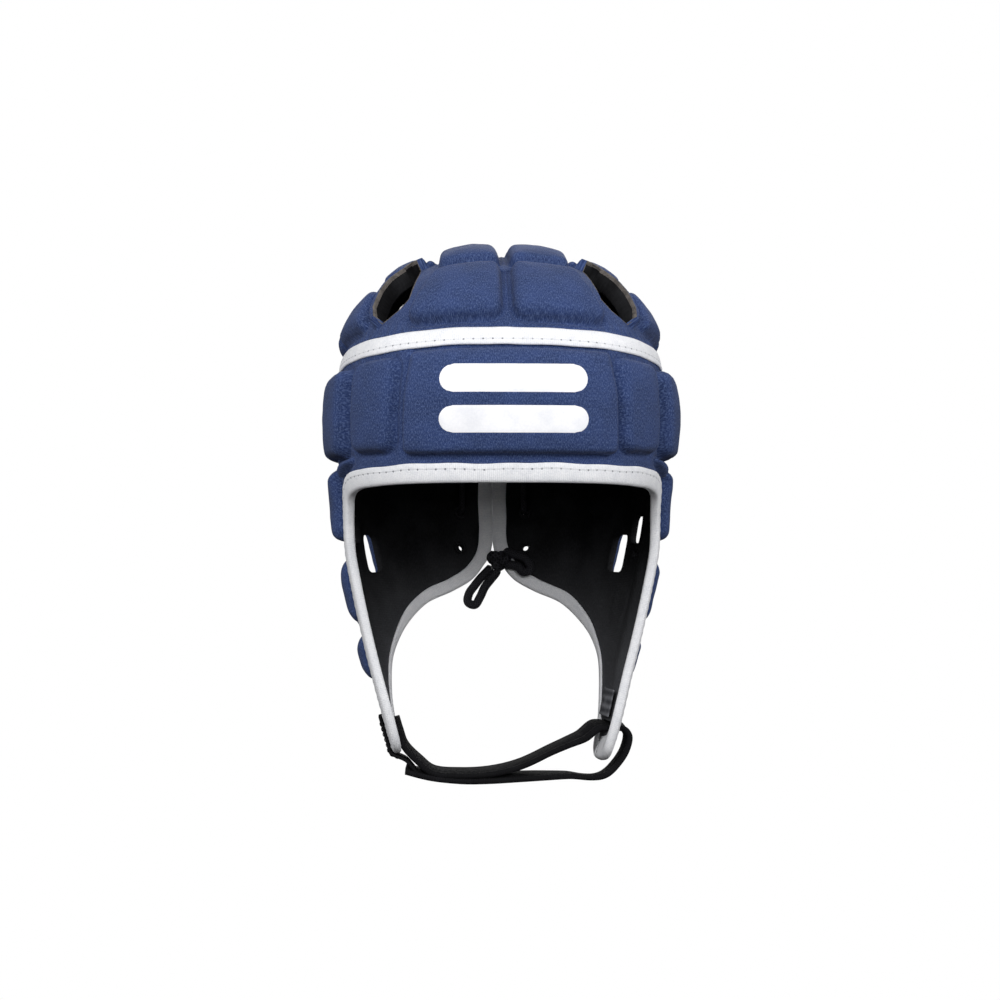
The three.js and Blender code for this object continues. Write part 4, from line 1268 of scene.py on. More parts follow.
@dataclass
class FormSheet:
    """A fine grid over the form, cut by outlines."""

    feet: Array
    flats: Array
    period: float
    closed_top: bool

    @staticmethod
    def crown(columns: int, rows: int) -> FormSheet:
        """Grid of the crown, from its middle to the seam.

        Args:
            columns: Steps round it.
            rows: Steps from the middle to the seam.

        Returns:
            The sheet.
        """
        azimuth = np.arange(columns) / columns * TURN - math.pi
        edge = FORM.angle_of_height(FORM.seam_height(azimuth))
        shares = (np.arange(rows) + 1)[:, None] / rows
        z = FORM.height_of_angle(edge[None] * shares)
        feet = FORM.wall_point(np.broadcast_to(azimuth, z.shape), z)
        reach = np.array([FORM.half_width, FORM.back_reach]) * 1.03
        flats = np.arcsin(np.clip(feet[..., :2] / reach, -1, 1)) * reach
        return FormSheet(feet, flats, 0.0, True)

    @staticmethod
    def wall(columns: int, rows: int) -> FormSheet:
        """Grid of the wall, from the seam to the flap tips.

        Args:
            columns: Steps round it.
            rows: Steps down it.

        Returns:
            The sheet.
        """
        azimuth = (np.arange(columns) + 0.5) / columns * TURN - math.pi
        top = FORM.seam_height(azimuth)
        bottom = -FORM.cap_depth - 1.5
        shares = np.arange(rows + 1)[:, None] / rows
        z = top[None] + (bottom - top[None]) * shares
        feet = FORM.wall_point(np.broadcast_to(azimuth, z.shape), z)
        middle = FORM.wall_point(azimuth, np.full(columns, -FORM.dome_height))
        lengths = run_lengths(middle, True)
        flats = np.stack([np.broadcast_to(lengths[:-1], z.shape), z], axis=-1)
        return FormSheet(feet, flats, float(lengths[-1]), False)

    def cut(self, removed: Array, outlines: list[Array]) -> Array:
        """Cuts the sheet along outlines by pulling the last vertices onto them.

        Args:
            removed: True where a vertex lies in what is cut away.
            outlines: Fine points of each outline.

        Returns:
            True for each grid cell that stays.
        """
        cells = self.cell_view(removed)
        keep = ~cells.all(axis=-1)
        pulled = np.zeros(removed.shape, bool)
        rows, columns = np.nonzero(keep & cells.any(axis=-1))
        size = removed.shape[1]
        for dr, dc in ((0, 0), (0, 1), (1, 1), (1, 0)):
            pulled[rows + dr, (columns + dc) % size] = True
        pulled &= removed
        edge = np.vstack(outlines)
        chosen = self.feet[pulled]
        nearest = np.array([np.linalg.norm(edge - p, axis=1).argmin() for p in chosen])
        if len(nearest):
            self.feet[pulled] = edge[nearest]
        return keep

    def cell_view(self, values: Array) -> Array:
        """Corner values of each grid cell."""
        right = np.roll(values, -1, axis=1)
        return np.stack([values[:-1], right[:-1], right[1:], values[1:]], axis=-1)

    def build(
        self,
        name: str,
        points: Array,
        keep: Array,
        inward: bool,
        material: Finish,
        held: Array | None = None,
    ) -> Piece:
        """Makes the object.

        Args:
            name: Name of the object.
            points: Vertices, one a foot.
            keep: Cells that stay.
            inward: Whether the faces look inwards.
            material: Its finish.
            held: True for the vertices that a simulation holds.

        Returns:
            The object.
        """
        rows, columns = points.shape[:2]
        index = np.arange(rows * columns).reshape(rows, columns)
        corners = self.cell_view(index)[keep]
        u = self.flats[..., 0]
        wrapped = np.roll(u, -1, axis=1)
        if self.period:
            wrapped[:, -1] += self.period
        us = np.stack([u[:-1], wrapped[:-1], wrapped[1:], u[1:]], axis=-1)[keep]
        vs = self.cell_view(self.flats[..., 1])[keep]
        uvs = np.stack([us, vs], axis=-1)
        order = [0, 3, 2, 1] if not inward else [0, 1, 2, 3]
        faces = corners[:, order].tolist()
        coords = uvs[:, order].reshape(-1, 2)
        vertices = points.reshape(-1, 3)
        if self.closed_top:
            apex = len(vertices)
            vertices = np.vstack([vertices, points[0].mean(0)[None]])
            ring = [[apex, i, (i + 1) % columns] for i in range(columns)]
            if inward:
                ring = [face[::-1] for face in ring]
            faces += [face[::-1] for face in ring]
            turned = [k for face in ring for k in face[::-1]]
            extra = [(0.0, 0.0) if k == apex else tuple(self.flats[0, k]) for k in turned]
            coords = np.vstack([coords, np.array(extra)])
        piece = make_object(name, vertices, faces, coords, material)
        if held is not None:
            group = piece.vertex_groups.new(name="held")
            group.add(np.flatnonzero(held.ravel()).tolist(), 1.0, "REPLACE")
        tidy_mesh(piece)
        return piece


@dataclass(frozen=True)
class EdgeFrames:
    """Frames along the lower edge of the wall: each foot, its normal and the way out of the cloth."""

    feet: Array
    normals: Array
    outs: Array

    def points(self, out: Array | float, height: Array | float) -> Array:
        """Points beside the edge.

        Args:
            out: Distances out of the cloth.
            height: Heights over the form.

        Returns:
            One point a frame.
        """
        out = np.broadcast_to(np.asarray(out, float), self.feet.shape[:1])[:, None]
        height = np.broadcast_to(np.asarray(height, float), self.feet.shape[:1])[:, None]
        return self.feet + self.outs * out + self.normals * height

    def stretch(self, numbers: Array) -> EdgeFrames:
        """The frames with these numbers, in order."""
        return EdgeFrames(self.feet[numbers], self.normals[numbers], self.outs[numbers])


@dataclass
class LowerEdge:
    """The edge that runs round the brow, both flaps, the nape and the back slit."""

    brow_drop: float = 5.0
    flap_front_top: float = 28.0
    flap_front_low: float = 21.0
    flap_rear_low: float = 19.0
    corner_reach: float = 22.0
    nape_depth: float = 176.0
    slit_width: float = 4.2
    slit_top: float = 80.0
    slit_foot: float = 146.0
    samples: int = 900
    nape_join: float = 71.0
    rear_shares: tuple[Point, ...] = ((0.22, 0.4), (0.44, 0.6), (0.64, 0.73), (0.85, 0.85))

    def half(self) -> list[tuple[float, float]]:
        """Azimuths and heights of the control points of the +X half."""
        tip = -FORM.cap_depth
        brow_z = -FORM.brow_depth

        def flap(y: float, z: float) -> tuple[float, float]:
            """Place on the flap."""
            return float(FORM.azimuth_at(np.float64(y), np.float64(z))), z

        def nape(x: float, z: float) -> tuple[float, float]:
            """Place on the back."""
            foot = FORM.back_foot(np.float64(x), np.float64(z))
            reach = FORM.reach_at(np.float64(z))
            n = FORM.roundness
            along = max(0.0, 1 - abs(x / float(reach["side"])) ** n) ** (1 / n)
            return math.atan2(float(foot[0]), -float(reach["back"]) * along), z

        def brow(share: float) -> tuple[float, float]:
            """Place on the brow."""
            return share, brow_z - self.brow_drop * (share / math.radians(60)) ** 3

        def mix(a: float, b: float, share: float) -> float:
            """Straight blend."""
            return a + (b - a) * share

        corner_y = -self.flap_front_top - self.corner_reach
        brow_end = flap(corner_y, brow_z)[0]
        flap_top = brow(brow_end)[1]
        middle = (self.flap_rear_low - self.flap_front_low) / 2
        reach = self.corner_reach
        rear = -self.nape_depth

        def front(share: float) -> float:
            """Place of the flap's front edge."""
            return mix(-self.flap_front_top, -self.flap_front_low, share)

        return [
            *(brow(math.radians(degrees)) for degrees in (0, 14, 28, 42)), brow(brow_end),
            flap(corner_y + reach * 0.62, flap_top - reach * 0.22),
            flap(corner_y + reach * 0.92, flap_top - reach * 0.72),
            flap(front(0.15), flap_top - reach * 1.35),
            flap(front(0.4), mix(flap_top, tip, 0.4)), flap(front(0.7), mix(flap_top, tip, 0.65)),
            flap(-self.flap_front_low, mix(flap_top, tip, 0.87)),
            flap(-self.flap_front_low * 0.72, tip + 4), flap(middle, tip),
            flap(self.flap_rear_low * 0.7, tip + 4), flap(self.flap_rear_low, mix(tip, rear, 0.19)),
            *(flap(mix(self.flap_rear_low, self.nape_join, along), mix(tip, rear, up))
              for along, up in self.rear_shares),
            nape(36, rear), nape(22, rear + 6.5), nape(11.5, rear + 13),
            nape(5.2, mix(rear + 6.5, -self.slit_foot, 0.65)),
            nape(self.slit_width / 2 + 0.3, -self.slit_foot),
            *(nape(self.slit_width / 2, mix(-self.slit_foot, -self.slit_top, up)) for up in (0.3, 0.65)),
            nape(self.slit_width / 2, -self.slit_top - self.slit_width),
        ]  # fmt: skip

    def frames(self) -> EdgeFrames:
        """Fine frames round the whole loop, the +X half first."""
        half = self.half()
        rest = [(-azimuth, z) for azimuth, z in half[1:]][::-1]
        spots = np.array([*half, (math.pi, -self.slit_top), *rest])
        control = FORM.wall_point(spots[:, 0], spots[:, 1])
        curve = spline(control, self.samples, True)
        feet = FORM.wall_point(np.arctan2(curve[:, 0], -curve[:, 1]), curve[:, 2])
        normals = FORM.normal_at(feet)
        alongs = unit(np.roll(feet, -2, axis=0) - np.roll(feet, 2, axis=0))
        return EdgeFrames(feet, normals, unit(np.cross(alongs, normals)))

    def cloth_polygon(self, frames: EdgeFrames) -> Array:
        """Outline of the wall in azimuth and height, closed over the seam."""
        azimuth = np.arctan2(frames.feet[:, 0], -frames.feet[:, 1])
        z = frames.feet[:, 2]
        first = azimuth >= 0
        right = np.stack([azimuth[~first], z[~first]], axis=1)
        left = np.stack([azimuth[first], z[first]], axis=1)
        loop = np.vstack([right, left])
        return np.vstack([[(-4.0, 0.0), (-4.0, loop[0, 1])], loop, [(4.0, loop[-1, 1]), (4.0, 0.0)]])


# Sub-assemblies


@dataclass
class PaddedShell:
    """Knit covers and linings of crown and wall, with their cut foam rims."""

    padding: Padding
    edge: LowerEdge
    frames: EdgeFrames
    columns: int = 576
    crown_rows: int = 116
    wall_rows: int = 184
    pucker: float = 0.22
    puff_limit: float = 1.1
    rim_foot: float = 0.5
    lip: tuple[tuple[float, float, float], ...] = (
        (1.0, -0.5, -0.6), (1.0, 0.05, -0.35), (1.0, 0.1, 0.0),
        (1.0, -0.15, 0.4), (1.0, -1.1, 0.55), (1.0, -2.0, 0.5),
    )  # fmt: skip
    wall: tuple[tuple[float, float, float], ...] = (
        (1.0, -1.7, 0.2), (1.0, -1.9, 0.42), (0.5, -0.4, 0.5), (0.2, 0.0, 0.35), (0.0, -0.2, -0.4),
    )  # fmt: skip
    hem: tuple[tuple[float, float, float], ...] = (
        (1.0, -0.35, -0.7), (1.0, 0.12, -0.4), (1.0, 0.1, 0.1),
        (1.0, -0.4, 0.42), (0.5, 0.0, 0.5), (0.0, 0.1, 0.35),
        (0.0, -0.25, -0.3),
    )  # fmt: skip

    def cut_crown(self, sheet: FormSheet) -> Array:
        """Cuts the vents out of a crown sheet and gives the cells that stay."""
        return self.cut(sheet, np.zeros(sheet.feet.shape[:2], bool), [], self.padding.vents())

    def cut_wall(self, sheet: FormSheet) -> Array:
        """Cuts the lower edge and the ear windows out of a wall sheet."""
        polygon = self.edge.cloth_polygon(self.frames)
        azimuth = np.arctan2(sheet.feet[..., 0], -sheet.feet[..., 1])
        outside = ~inside(polygon, np.stack([azimuth, sheet.feet[..., 2]], axis=-1))
        holes = [*self.padding.ear_windows(), *self.padding.lace_holes(), self.padding.strap_slot()]
        return self.cut(sheet, outside, [self.frames.feet], holes)

    def cut(self, sheet: FormSheet, removed: Array, outlines: list[Array], holes: list[Opening]) -> Array:
        """Cuts openings out of a sheet.

        Args:
            sheet: The grid.
            removed: True where a vertex is cut away already.
            outlines: Points of the outlines cut already.
            holes: The openings.

        Returns:
            True for each cell that stays.
        """
        for hole in holes:
            spots, points, _ = hole.outline(0.35)
            removed |= inside(spots, hole.chart.read(sheet.feet))
            outlines.append(points)
        return sheet.cut(removed, outlines)

    def knit_detail(self, feet: Array, depth: Array, seam_gap: Array) -> Array:
        """Small unevenness of stretched knit.

        Args:
            feet: Points of the form.
            depth: How far inside a block they lie.
            seam_gap: Distance from the crown seam.

        Returns:
            Heights to add.
        """
        broad = ripple(feet, 17.0, 3.1) * 0.35 * smooth_step(0, 6, depth)
        fine = ripple(feet, 5.5, 7.7) * 0.12
        azimuth = np.arctan2(feet[..., 0], -feet[..., 1])
        pleats = np.sin(azimuth * 96 + 4 * ripple(feet, 22.0, 1.3))
        gathers = self.pucker * pleats * np.exp(-np.maximum(seam_gap - 5, 0) / 3.2)
        return broad + fine + gathers

    def cover(
        self,
        sheet: FormSheet,
        keep: Array,
        pads: list[Pad],
        holes: list[Opening],
        name: str,
        finish: Finish,
    ) -> Piece:
        """Makes one knit cover.

        Args:
            sheet: The cut grid.
            keep: Cells that stay.
            pads: Blocks under it.
            holes: Openings in it.
            name: Name of the object.
            finish: Its material.

        Returns:
            The object.
        """
        heights, depth = self.padding.heights(sheet.feet, pads, holes)
        azimuth = np.arctan2(sheet.feet[..., 0], -sheet.feet[..., 1])
        seam_gap = np.abs(sheet.feet[..., 2] - FORM.seam_height(azimuth))
        heights = heights + self.knit_detail(sheet.feet, depth, seam_gap)
        points = FORM.lift(sheet.feet, heights)
        piece = sheet.build(name, points, keep, False, finish, depth < 0.4)
        self.puff(piece)
        return piece

    def puff(self, piece: Piece) -> None:
        """Swells the knit over its foam by a short cloth simulation.

        Args:
            piece: The cover, with its group of held vertices.
        """
        group = piece.vertex_groups["held"]
        mesh = piece.data
        count = len(mesh.vertices)
        before = np.zeros(count * 3)
        mesh.vertices.foreach_get("co", before)
        before = before.reshape(-1, 3)
        cloth = piece.modifiers.new("puff", "CLOTH")
        for key, value in CLOTH.items():
            setattr(cloth.settings, key, value)
        cloth.settings.effector_weights.gravity = 0.0
        cloth.collision_settings.use_collision = False
        scene = bpy.context.scene
        for frame in range(1, 13):
            scene.frame_set(frame)
        graph = bpy.context.evaluated_depsgraph_get()
        after = np.zeros(count * 3)
        piece.evaluated_get(graph).data.vertices.foreach_get("co", after)
        move = after.reshape(-1, 3) - before
        size = np.linalg.norm(move, axis=1, keepdims=True)
        limit = self.puff_limit * MM
        move *= np.minimum(1.0, limit / np.maximum(size, 1e-9))
        piece.modifiers.remove(cloth)
        piece.vertex_groups.remove(group)
        scene.frame_set(1)
        mesh.vertices.foreach_set("co", (before + move).ravel())
        mesh.update()
        LOG.info("%s swelled by up to %.2f mm", piece.name, float(np.linalg.norm(move, axis=1).max() / MM))

    def edge_gap(self, feet: Array) -> Array:
        """Distance of points of the form from the lower edge, up to 40 mm.

        Args:
            feet: Points of the form.

        Returns:
            Distances.
        """
        tree = KDTree(len(self.frames.feet))
        for index, foot in enumerate(self.frames.feet):
            tree.insert(Vector(foot), index)
        tree.balance()
        flat = feet.reshape(-1, 3)
        gaps = np.full(len(flat), 40.0)
        low = flat[:, 2] < -FORM.slit_near
        gaps[low] = [tree.find(Vector(foot))[2] for foot in flat[low]]
        return np.minimum(gaps, 40.0).reshape(feet.shape[:-1])

    def lining(
        self, sheet: FormSheet, keep: Array, pads: list[Pad], name: str, finish: Finish
    ) -> Piece:
        """Makes one lining with a faint quilting of the blocks behind it.

        Args:
            sheet: The cut grid.
            keep: Cells that stay.
            pads: Blocks behind it.
            name: Name of the object.
            finish: Its material.

        Returns:
            The object.
        """
        depth = np.full(sheet.feet.shape[:2], -4.0)
        for pad in pads:
            depth = np.maximum(depth, pad.depth_inside(sheet.feet, 4.0))
        heights = 0.85 - 0.75 * smooth_step(-2.5, 2.5, depth) + ripple(sheet.feet, 24.0, 5.2) * 0.12
        gap = self.edge_gap(sheet.feet)
        heights = heights + (1.75 - heights) * np.exp(-((gap / 9.0) ** 2))
        return sheet.build(name, FORM.lift(sheet.feet, heights), keep, True, finish)

    def rim(
        self,
        name: str,
        holes: list[Opening],
        pads: list[Pad],
        section: Sequence[tuple[float, float, float]],
        finish: Finish,
    ) -> Piece:
        """Makes the cut edges of openings.

        Args:
            name: Name of the object.
            holes: The openings.
            pads: Blocks that reach them.
            section: Share of the wall's height, millimetres over that, and millimetres inwards.
            finish: Its material.

        Returns:
            The object.
        """
        parts = MeshParts()
        for hole in holes:
            _, points, _ = hole.outline(0.8)
            top, _ = self.padding.heights(points, pads, holes)
            normals = FORM.normal_at(points)
            alongs = unit(np.roll(points, -1, axis=0) - np.roll(points, 1, axis=0))
            outward = np.cross(alongs, normals)
            middle = points.mean(0)
            facing = np.sign(np.sum(outward * (middle - points), axis=1, keepdims=True))
            inward = outward * facing
            lift = top - self.rim_foot
            rings = []
            for share, height, reach in section:
                heights = self.rim_foot + lift * share + height
                rings.append(points + normals * heights[:, None] + inward * reach)
            rows = np.array(rings).transpose(1, 0, 2)
            count, size = rows.shape[:2]
            lengths = run_lengths(points, True)
            faces, uvs = [], []
            for i in range(count):
                for j in range(size - 1):
                    a, b = i * size + j, (i + 1) % count * size + j
                    faces.append([a, b, b + 1, a + 1])
                    here, there = lengths[i], lengths[i + 1]
                    uvs += [(here, j), (there, j), (there, j + 1), (here, j + 1)]
            parts.add(rows, faces, uvs)
        return parts.build(name, finish)

    def build(self) -> list[Piece]:
        """Makes covers, linings and rims."""
        knit = HeatheredKnit().material()
        lining = LiningKnit().material()
        foam = CutFoam().material()
        crown_pads, wall_pads = self.padding.crown_pads(), self.padding.wall_pads()
        vents, windows = self.padding.vents(), self.padding.ear_windows()
        sides = (
            ("crown", FormSheet.crown, self.crown_rows, self.cut_crown, crown_pads, vents),
            ("wall", FormSheet.wall, self.wall_rows, self.cut_wall, wall_pads, windows),
        )
        covers, liners = [], []
        for name, grid, rows, cut, pads, holes in sides:
            sheet = grid(self.columns, rows)
            piece = self.cover(sheet, cut(sheet), pads, holes, f"{name}_cover", knit)
            covers.append(dress(piece, "padded_cloth", f"{name}_panel"))
        for name, grid, rows, cut, pads, _ in sides:
            sheet = grid(self.columns // 2, rows // 2)
            piece = self.lining(sheet, cut(sheet), pads, f"{name}_liner", lining)
            liners.append(dress(piece, "lining", f"{name}_lining"))
        lips = self.rim("vent_rims", vents, crown_pads, self.lip, foam)
        walls = self.rim("vent_walls", vents, crown_pads, self.wall, lining)
        hems = self.rim("ear_window_hems", windows, wall_pads, self.hem, lining)
        rims = [dress(lips, "padded_cloth"), dress(walls, "lining"), dress(hems, "lining")]
        return covers + liners + rims


def dress(piece: Piece, slot: str, *nodes: str) -> Piece:
    """Puts a piece on the cap's body.

    Args:
        piece: The piece.
        slot: Not used.
        nodes: CAD nodes that it stands for.

    Returns:
        The same piece.
    """
    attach(piece, "root")
    if nodes:
        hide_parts(*nodes)
    LOG.info("%s: %d faces", piece.name, len(piece.data.polygons))
    return piece


@dataclass
class EdgeTapes:
    """Folded bindings of the lower edge and the tape over the crown seam."""

    frames: EdgeFrames
    leg: float = 8.3
    thick: float = 0.9
    outer_foot: float = 4.35
    inner_foot: float = 1.55
    fold_gap: float = 0.25
    slit_fill: float = 0.85
    tape_width: float = 8.6
    tape_drop: float = 1.9
    stitch_pitch: float = 4.4
    flap_middle: float = -1.0

    def section(self) -> list[tuple[float, float, float]]:
        """Section of a binding: way out, height, and millimetres across the tape."""
        top = self.outer_foot + self.thick
        low = self.inner_foot - self.thick
        reach = self.fold_gap + self.thick
        return [
            (-self.leg, self.outer_foot + 0.1, 0.0),
            (-self.leg - 0.15, top - 0.25, 0.3),
            (-self.leg + 0.4, top, 0.8),
            (-self.leg * 0.66, top + 0.12, 3.0), (-self.leg * 0.33, top + 0.1, 5.8), (-0.6, top, 8.2),
            (reach - 0.5, top - 0.45, 9.4), (reach, top - 1.3, 10.6), (reach + 0.1, (top + low) / 2, 12.4),
            (reach, low + 1.2, 14.2), (reach - 0.5, low + 0.35, 15.4), (-0.6, low, 16.6),
            (-self.leg * 0.33, low - 0.1, 19.0), (-self.leg * 0.66, low - 0.08, 21.8),
            (-self.leg + 0.4, low, 24.0),
            (-self.leg - 0.15, low + 0.3, 24.5),
            (-self.leg, self.inner_foot - 0.05, 25.0),
            (-0.4, self.inner_foot - 0.05, 27.0), (self.fold_gap, self.inner_foot + 0.6, 28.0),
            (self.fold_gap, self.outer_foot - 0.5, 30.0), (-0.4, self.outer_foot + 0.1, 31.0),
        ]  # fmt: skip

    def binding(self, name: str, numbers: Array, finish: Finish) -> Piece:
        """Sweeps a binding along a stretch of the edge.

        Args:
            name: Name of the object.
            numbers: Numbers of its frames in order.
            finish: Its material.

        Returns:
            The object.
        """
        run = self.frames.stretch(numbers)
        lengths = run_lengths(run.feet, False)
        wander = 0.25 * np.sin(lengths / 9.0) + 0.18 * np.sin(lengths / 3.7)
        pinch = 0.1 * np.sin(lengths * TURN / self.stitch_pitch)
        share = self.inner_share(run.feet)
        back = run.feet[:, 1] > 0
        slit = self.slit_fill * back * (1 - smooth_step(3.4, 7.0, np.abs(run.feet[:, 0])))
        rings = []
        for out, height, across in self.section():
            places = np.full(len(lengths), out)
            heights = np.full(len(lengths), height)
            if 16 < across < 26:
                places = -0.4 + (places + 0.4) * share
            if 9 < across < 16:
                places = places + slit
            if out < -self.leg * 0.5:
                places = places + wander * (share if across > 16 else 1.0)
                heights = heights + (pinch if across < 4 else 0.0)
            rings.append(run.points(places, heights))
        rows = np.array(rings).transpose(1, 0, 2)
        arounds = np.array([across for _, _, across in self.section()] + [32.0])
        return swept(name, rows, False, lengths, arounds, finish)

    def inner_share(self, feet: Array) -> Array:
        """Width of the inner leg beside the outer one along the edge.

        Args:
            feet: Feet of the edge.

        Returns:
            Shares of the outer leg's width.
        """
        z, on_slot_side = feet[:, 2], smooth_step(20.0, 40.0, feet[:, 0])
        tip = 0.7 * on_slot_side * (1 - smooth_step(-241.0, -229.0, z))
        nape = 0.26 + 0.4 * smooth_step(-205.0, -178.0, z) + tip
        face = 0.6 + tip
        return np.where(feet[:, 1] > self.flap_middle, nape, face)

    def seam_tape(self, finish: Finish) -> Piece:
        """Makes the tape over the crown seam.

        Args:
            finish: Its material.

        Returns:
            The object.
        """
        count = 560
        azimuth = np.arange(count) / count * TURN
        feet = FORM.wall_point(azimuth, FORM.seam_height(azimuth))
        ahead = FORM.wall_point(azimuth + 0.01, FORM.seam_height(azimuth + 0.01))
        normals = FORM.normal_at(feet)
        downs = np.cross(unit(ahead - feet), normals)
        lengths = run_lengths(feet, True)
        half = self.tape_width / 2
        wander = 0.18 * np.sin(lengths[:-1] / 11.0) + 0.12 * np.sin(lengths[:-1] / 4.1)
        section = [
            (-half, 4.3, 0.0), (-half - 0.1, 5.0, 0.3), (-half + 0.5, 5.35, 0.8), (-half * 0.5, 5.55, 2.8),
            (0.0, 5.6, 5.2), (half * 0.42, 5.35, 7.2), (half * 0.7, 5.5, 8.6), (half - 0.5, 5.3, 9.9),
            (half + 0.1, 4.95, 10.4), (half, 4.3, 10.8), (0.0, 4.45, 16.0),
        ]  # fmt: skip
        rings = []
        for out, height, _ in section:
            shift = self.tape_drop * smooth_step(-40.0, 60.0, -feet[:, 1])
            stray = wander if abs(out) > half * 0.6 else 0.0 * wander
            spots = feet + downs * (out + shift + stray)[:, None]
            footed = FORM.wall_point(np.arctan2(spots[:, 0], -spots[:, 1]), spots[:, 2])
            rings.append(FORM.lift(footed, np.full(count, height)))
        rows = np.array(rings).transpose(1, 0, 2)
        arounds = np.array([across for _, _, across in section] + [21.0])
        return swept("seam_tape", rows, True, lengths, arounds, finish)

    def build(self) -> list[Piece]:
        """Makes both bindings and the seam tape."""
        count = len(self.frames.feet)
        z = self.frames.feet[:, 2]
        x = self.frames.feet[:, 0]
        left = int(np.where(x > 0, z, 1e9).argmin())
        right = int(np.where(x < 0, z, 1e9).argmin())
        face = np.arange(right + 1, count + left) % count
        nape = np.arange(left + 1, right)
        lower = RibbedTape("binding_tape", hole_line=3.0).material()
        upper = RibbedTape("seam_tape_cloth", hole_line=7.2).material()
        pieces = [dress(self.binding("face_edge", face, lower), "edge_tape", "face_binding")]
        pieces.append(dress(self.binding("nape_edge", nape, lower), "edge_tape", "nape_binding"))
        pieces.append(dress(self.seam_tape(upper), "edge_tape", "crown_tape"))
        return pieces


@dataclass
class ForeheadPrint:
    """A plain generic print on the forehead block: two bars with round ends."""

    cover: Piece
    centre_x: float = 2.0
    centre_z: float = -73.2
    length: float = 65.5
    bar: float = 12.2
    gap: float = 5.8
    film: float = 0.14

    def add_bar(self, parts: MeshParts, tree: BVHTree, middle: float) -> None:
        """Adds one bar laid onto the cover.

        Args:
            parts: What it is added to.
            tree: Search tree of the cover.
            middle: Height of the bar's middle line.
        """
        rows, columns = 16, 90
        vertices, uvs = [], []
        for r in range(rows + 1):
            v = (r / rows - 0.5) * self.bar
            reach = self.length / 2 - self.bar / 2 + math.sqrt(max(0.0, (self.bar / 2) ** 2 - v * v))
            for c in range(columns + 1):
                u = (c / columns * 2 - 1) * reach
                azimuth = (self.centre_x + u) / FORM.front_reach
                foot = FORM.wall_point(np.array([azimuth]), np.array([middle + v]))
                normal = FORM.normal_at(foot)[0]
                start = Vector((foot[0] + normal * 25) * MM)
                hit = tree.ray_cast(start, Vector(-normal), 0.03)
                place = np.array(hit[0]) / MM if hit[0] else foot[0] + normal * 10
                edge = r in (0, rows) or c in (0, columns)
                vertices.append(place + normal * (0.02 if edge else self.film))
                uvs.append((u, v))
        faces, corners = [], []
        for r in range(rows):
            for c in range(columns):
                a = r * (columns + 1) + c
                face = [a, a + columns + 1, a + columns + 2, a + 1]
                faces.append(face)
                corners += [uvs[k] for k in face]
        parts.add(np.array(vertices), faces, corners)

    def build(self) -> list[Piece]:
        """Makes the print."""
        tree = BVHTree.FromObject(self.cover, bpy.context.evaluated_depsgraph_get())
        offset = (self.bar + self.gap) / 2
        parts = MeshParts()
        for way in (1, -1):
            self.add_bar(parts, tree, self.centre_z + way * offset)
        return [dress(parts.build("forehead_print", RubberPrint().material()), "edge_tape")]


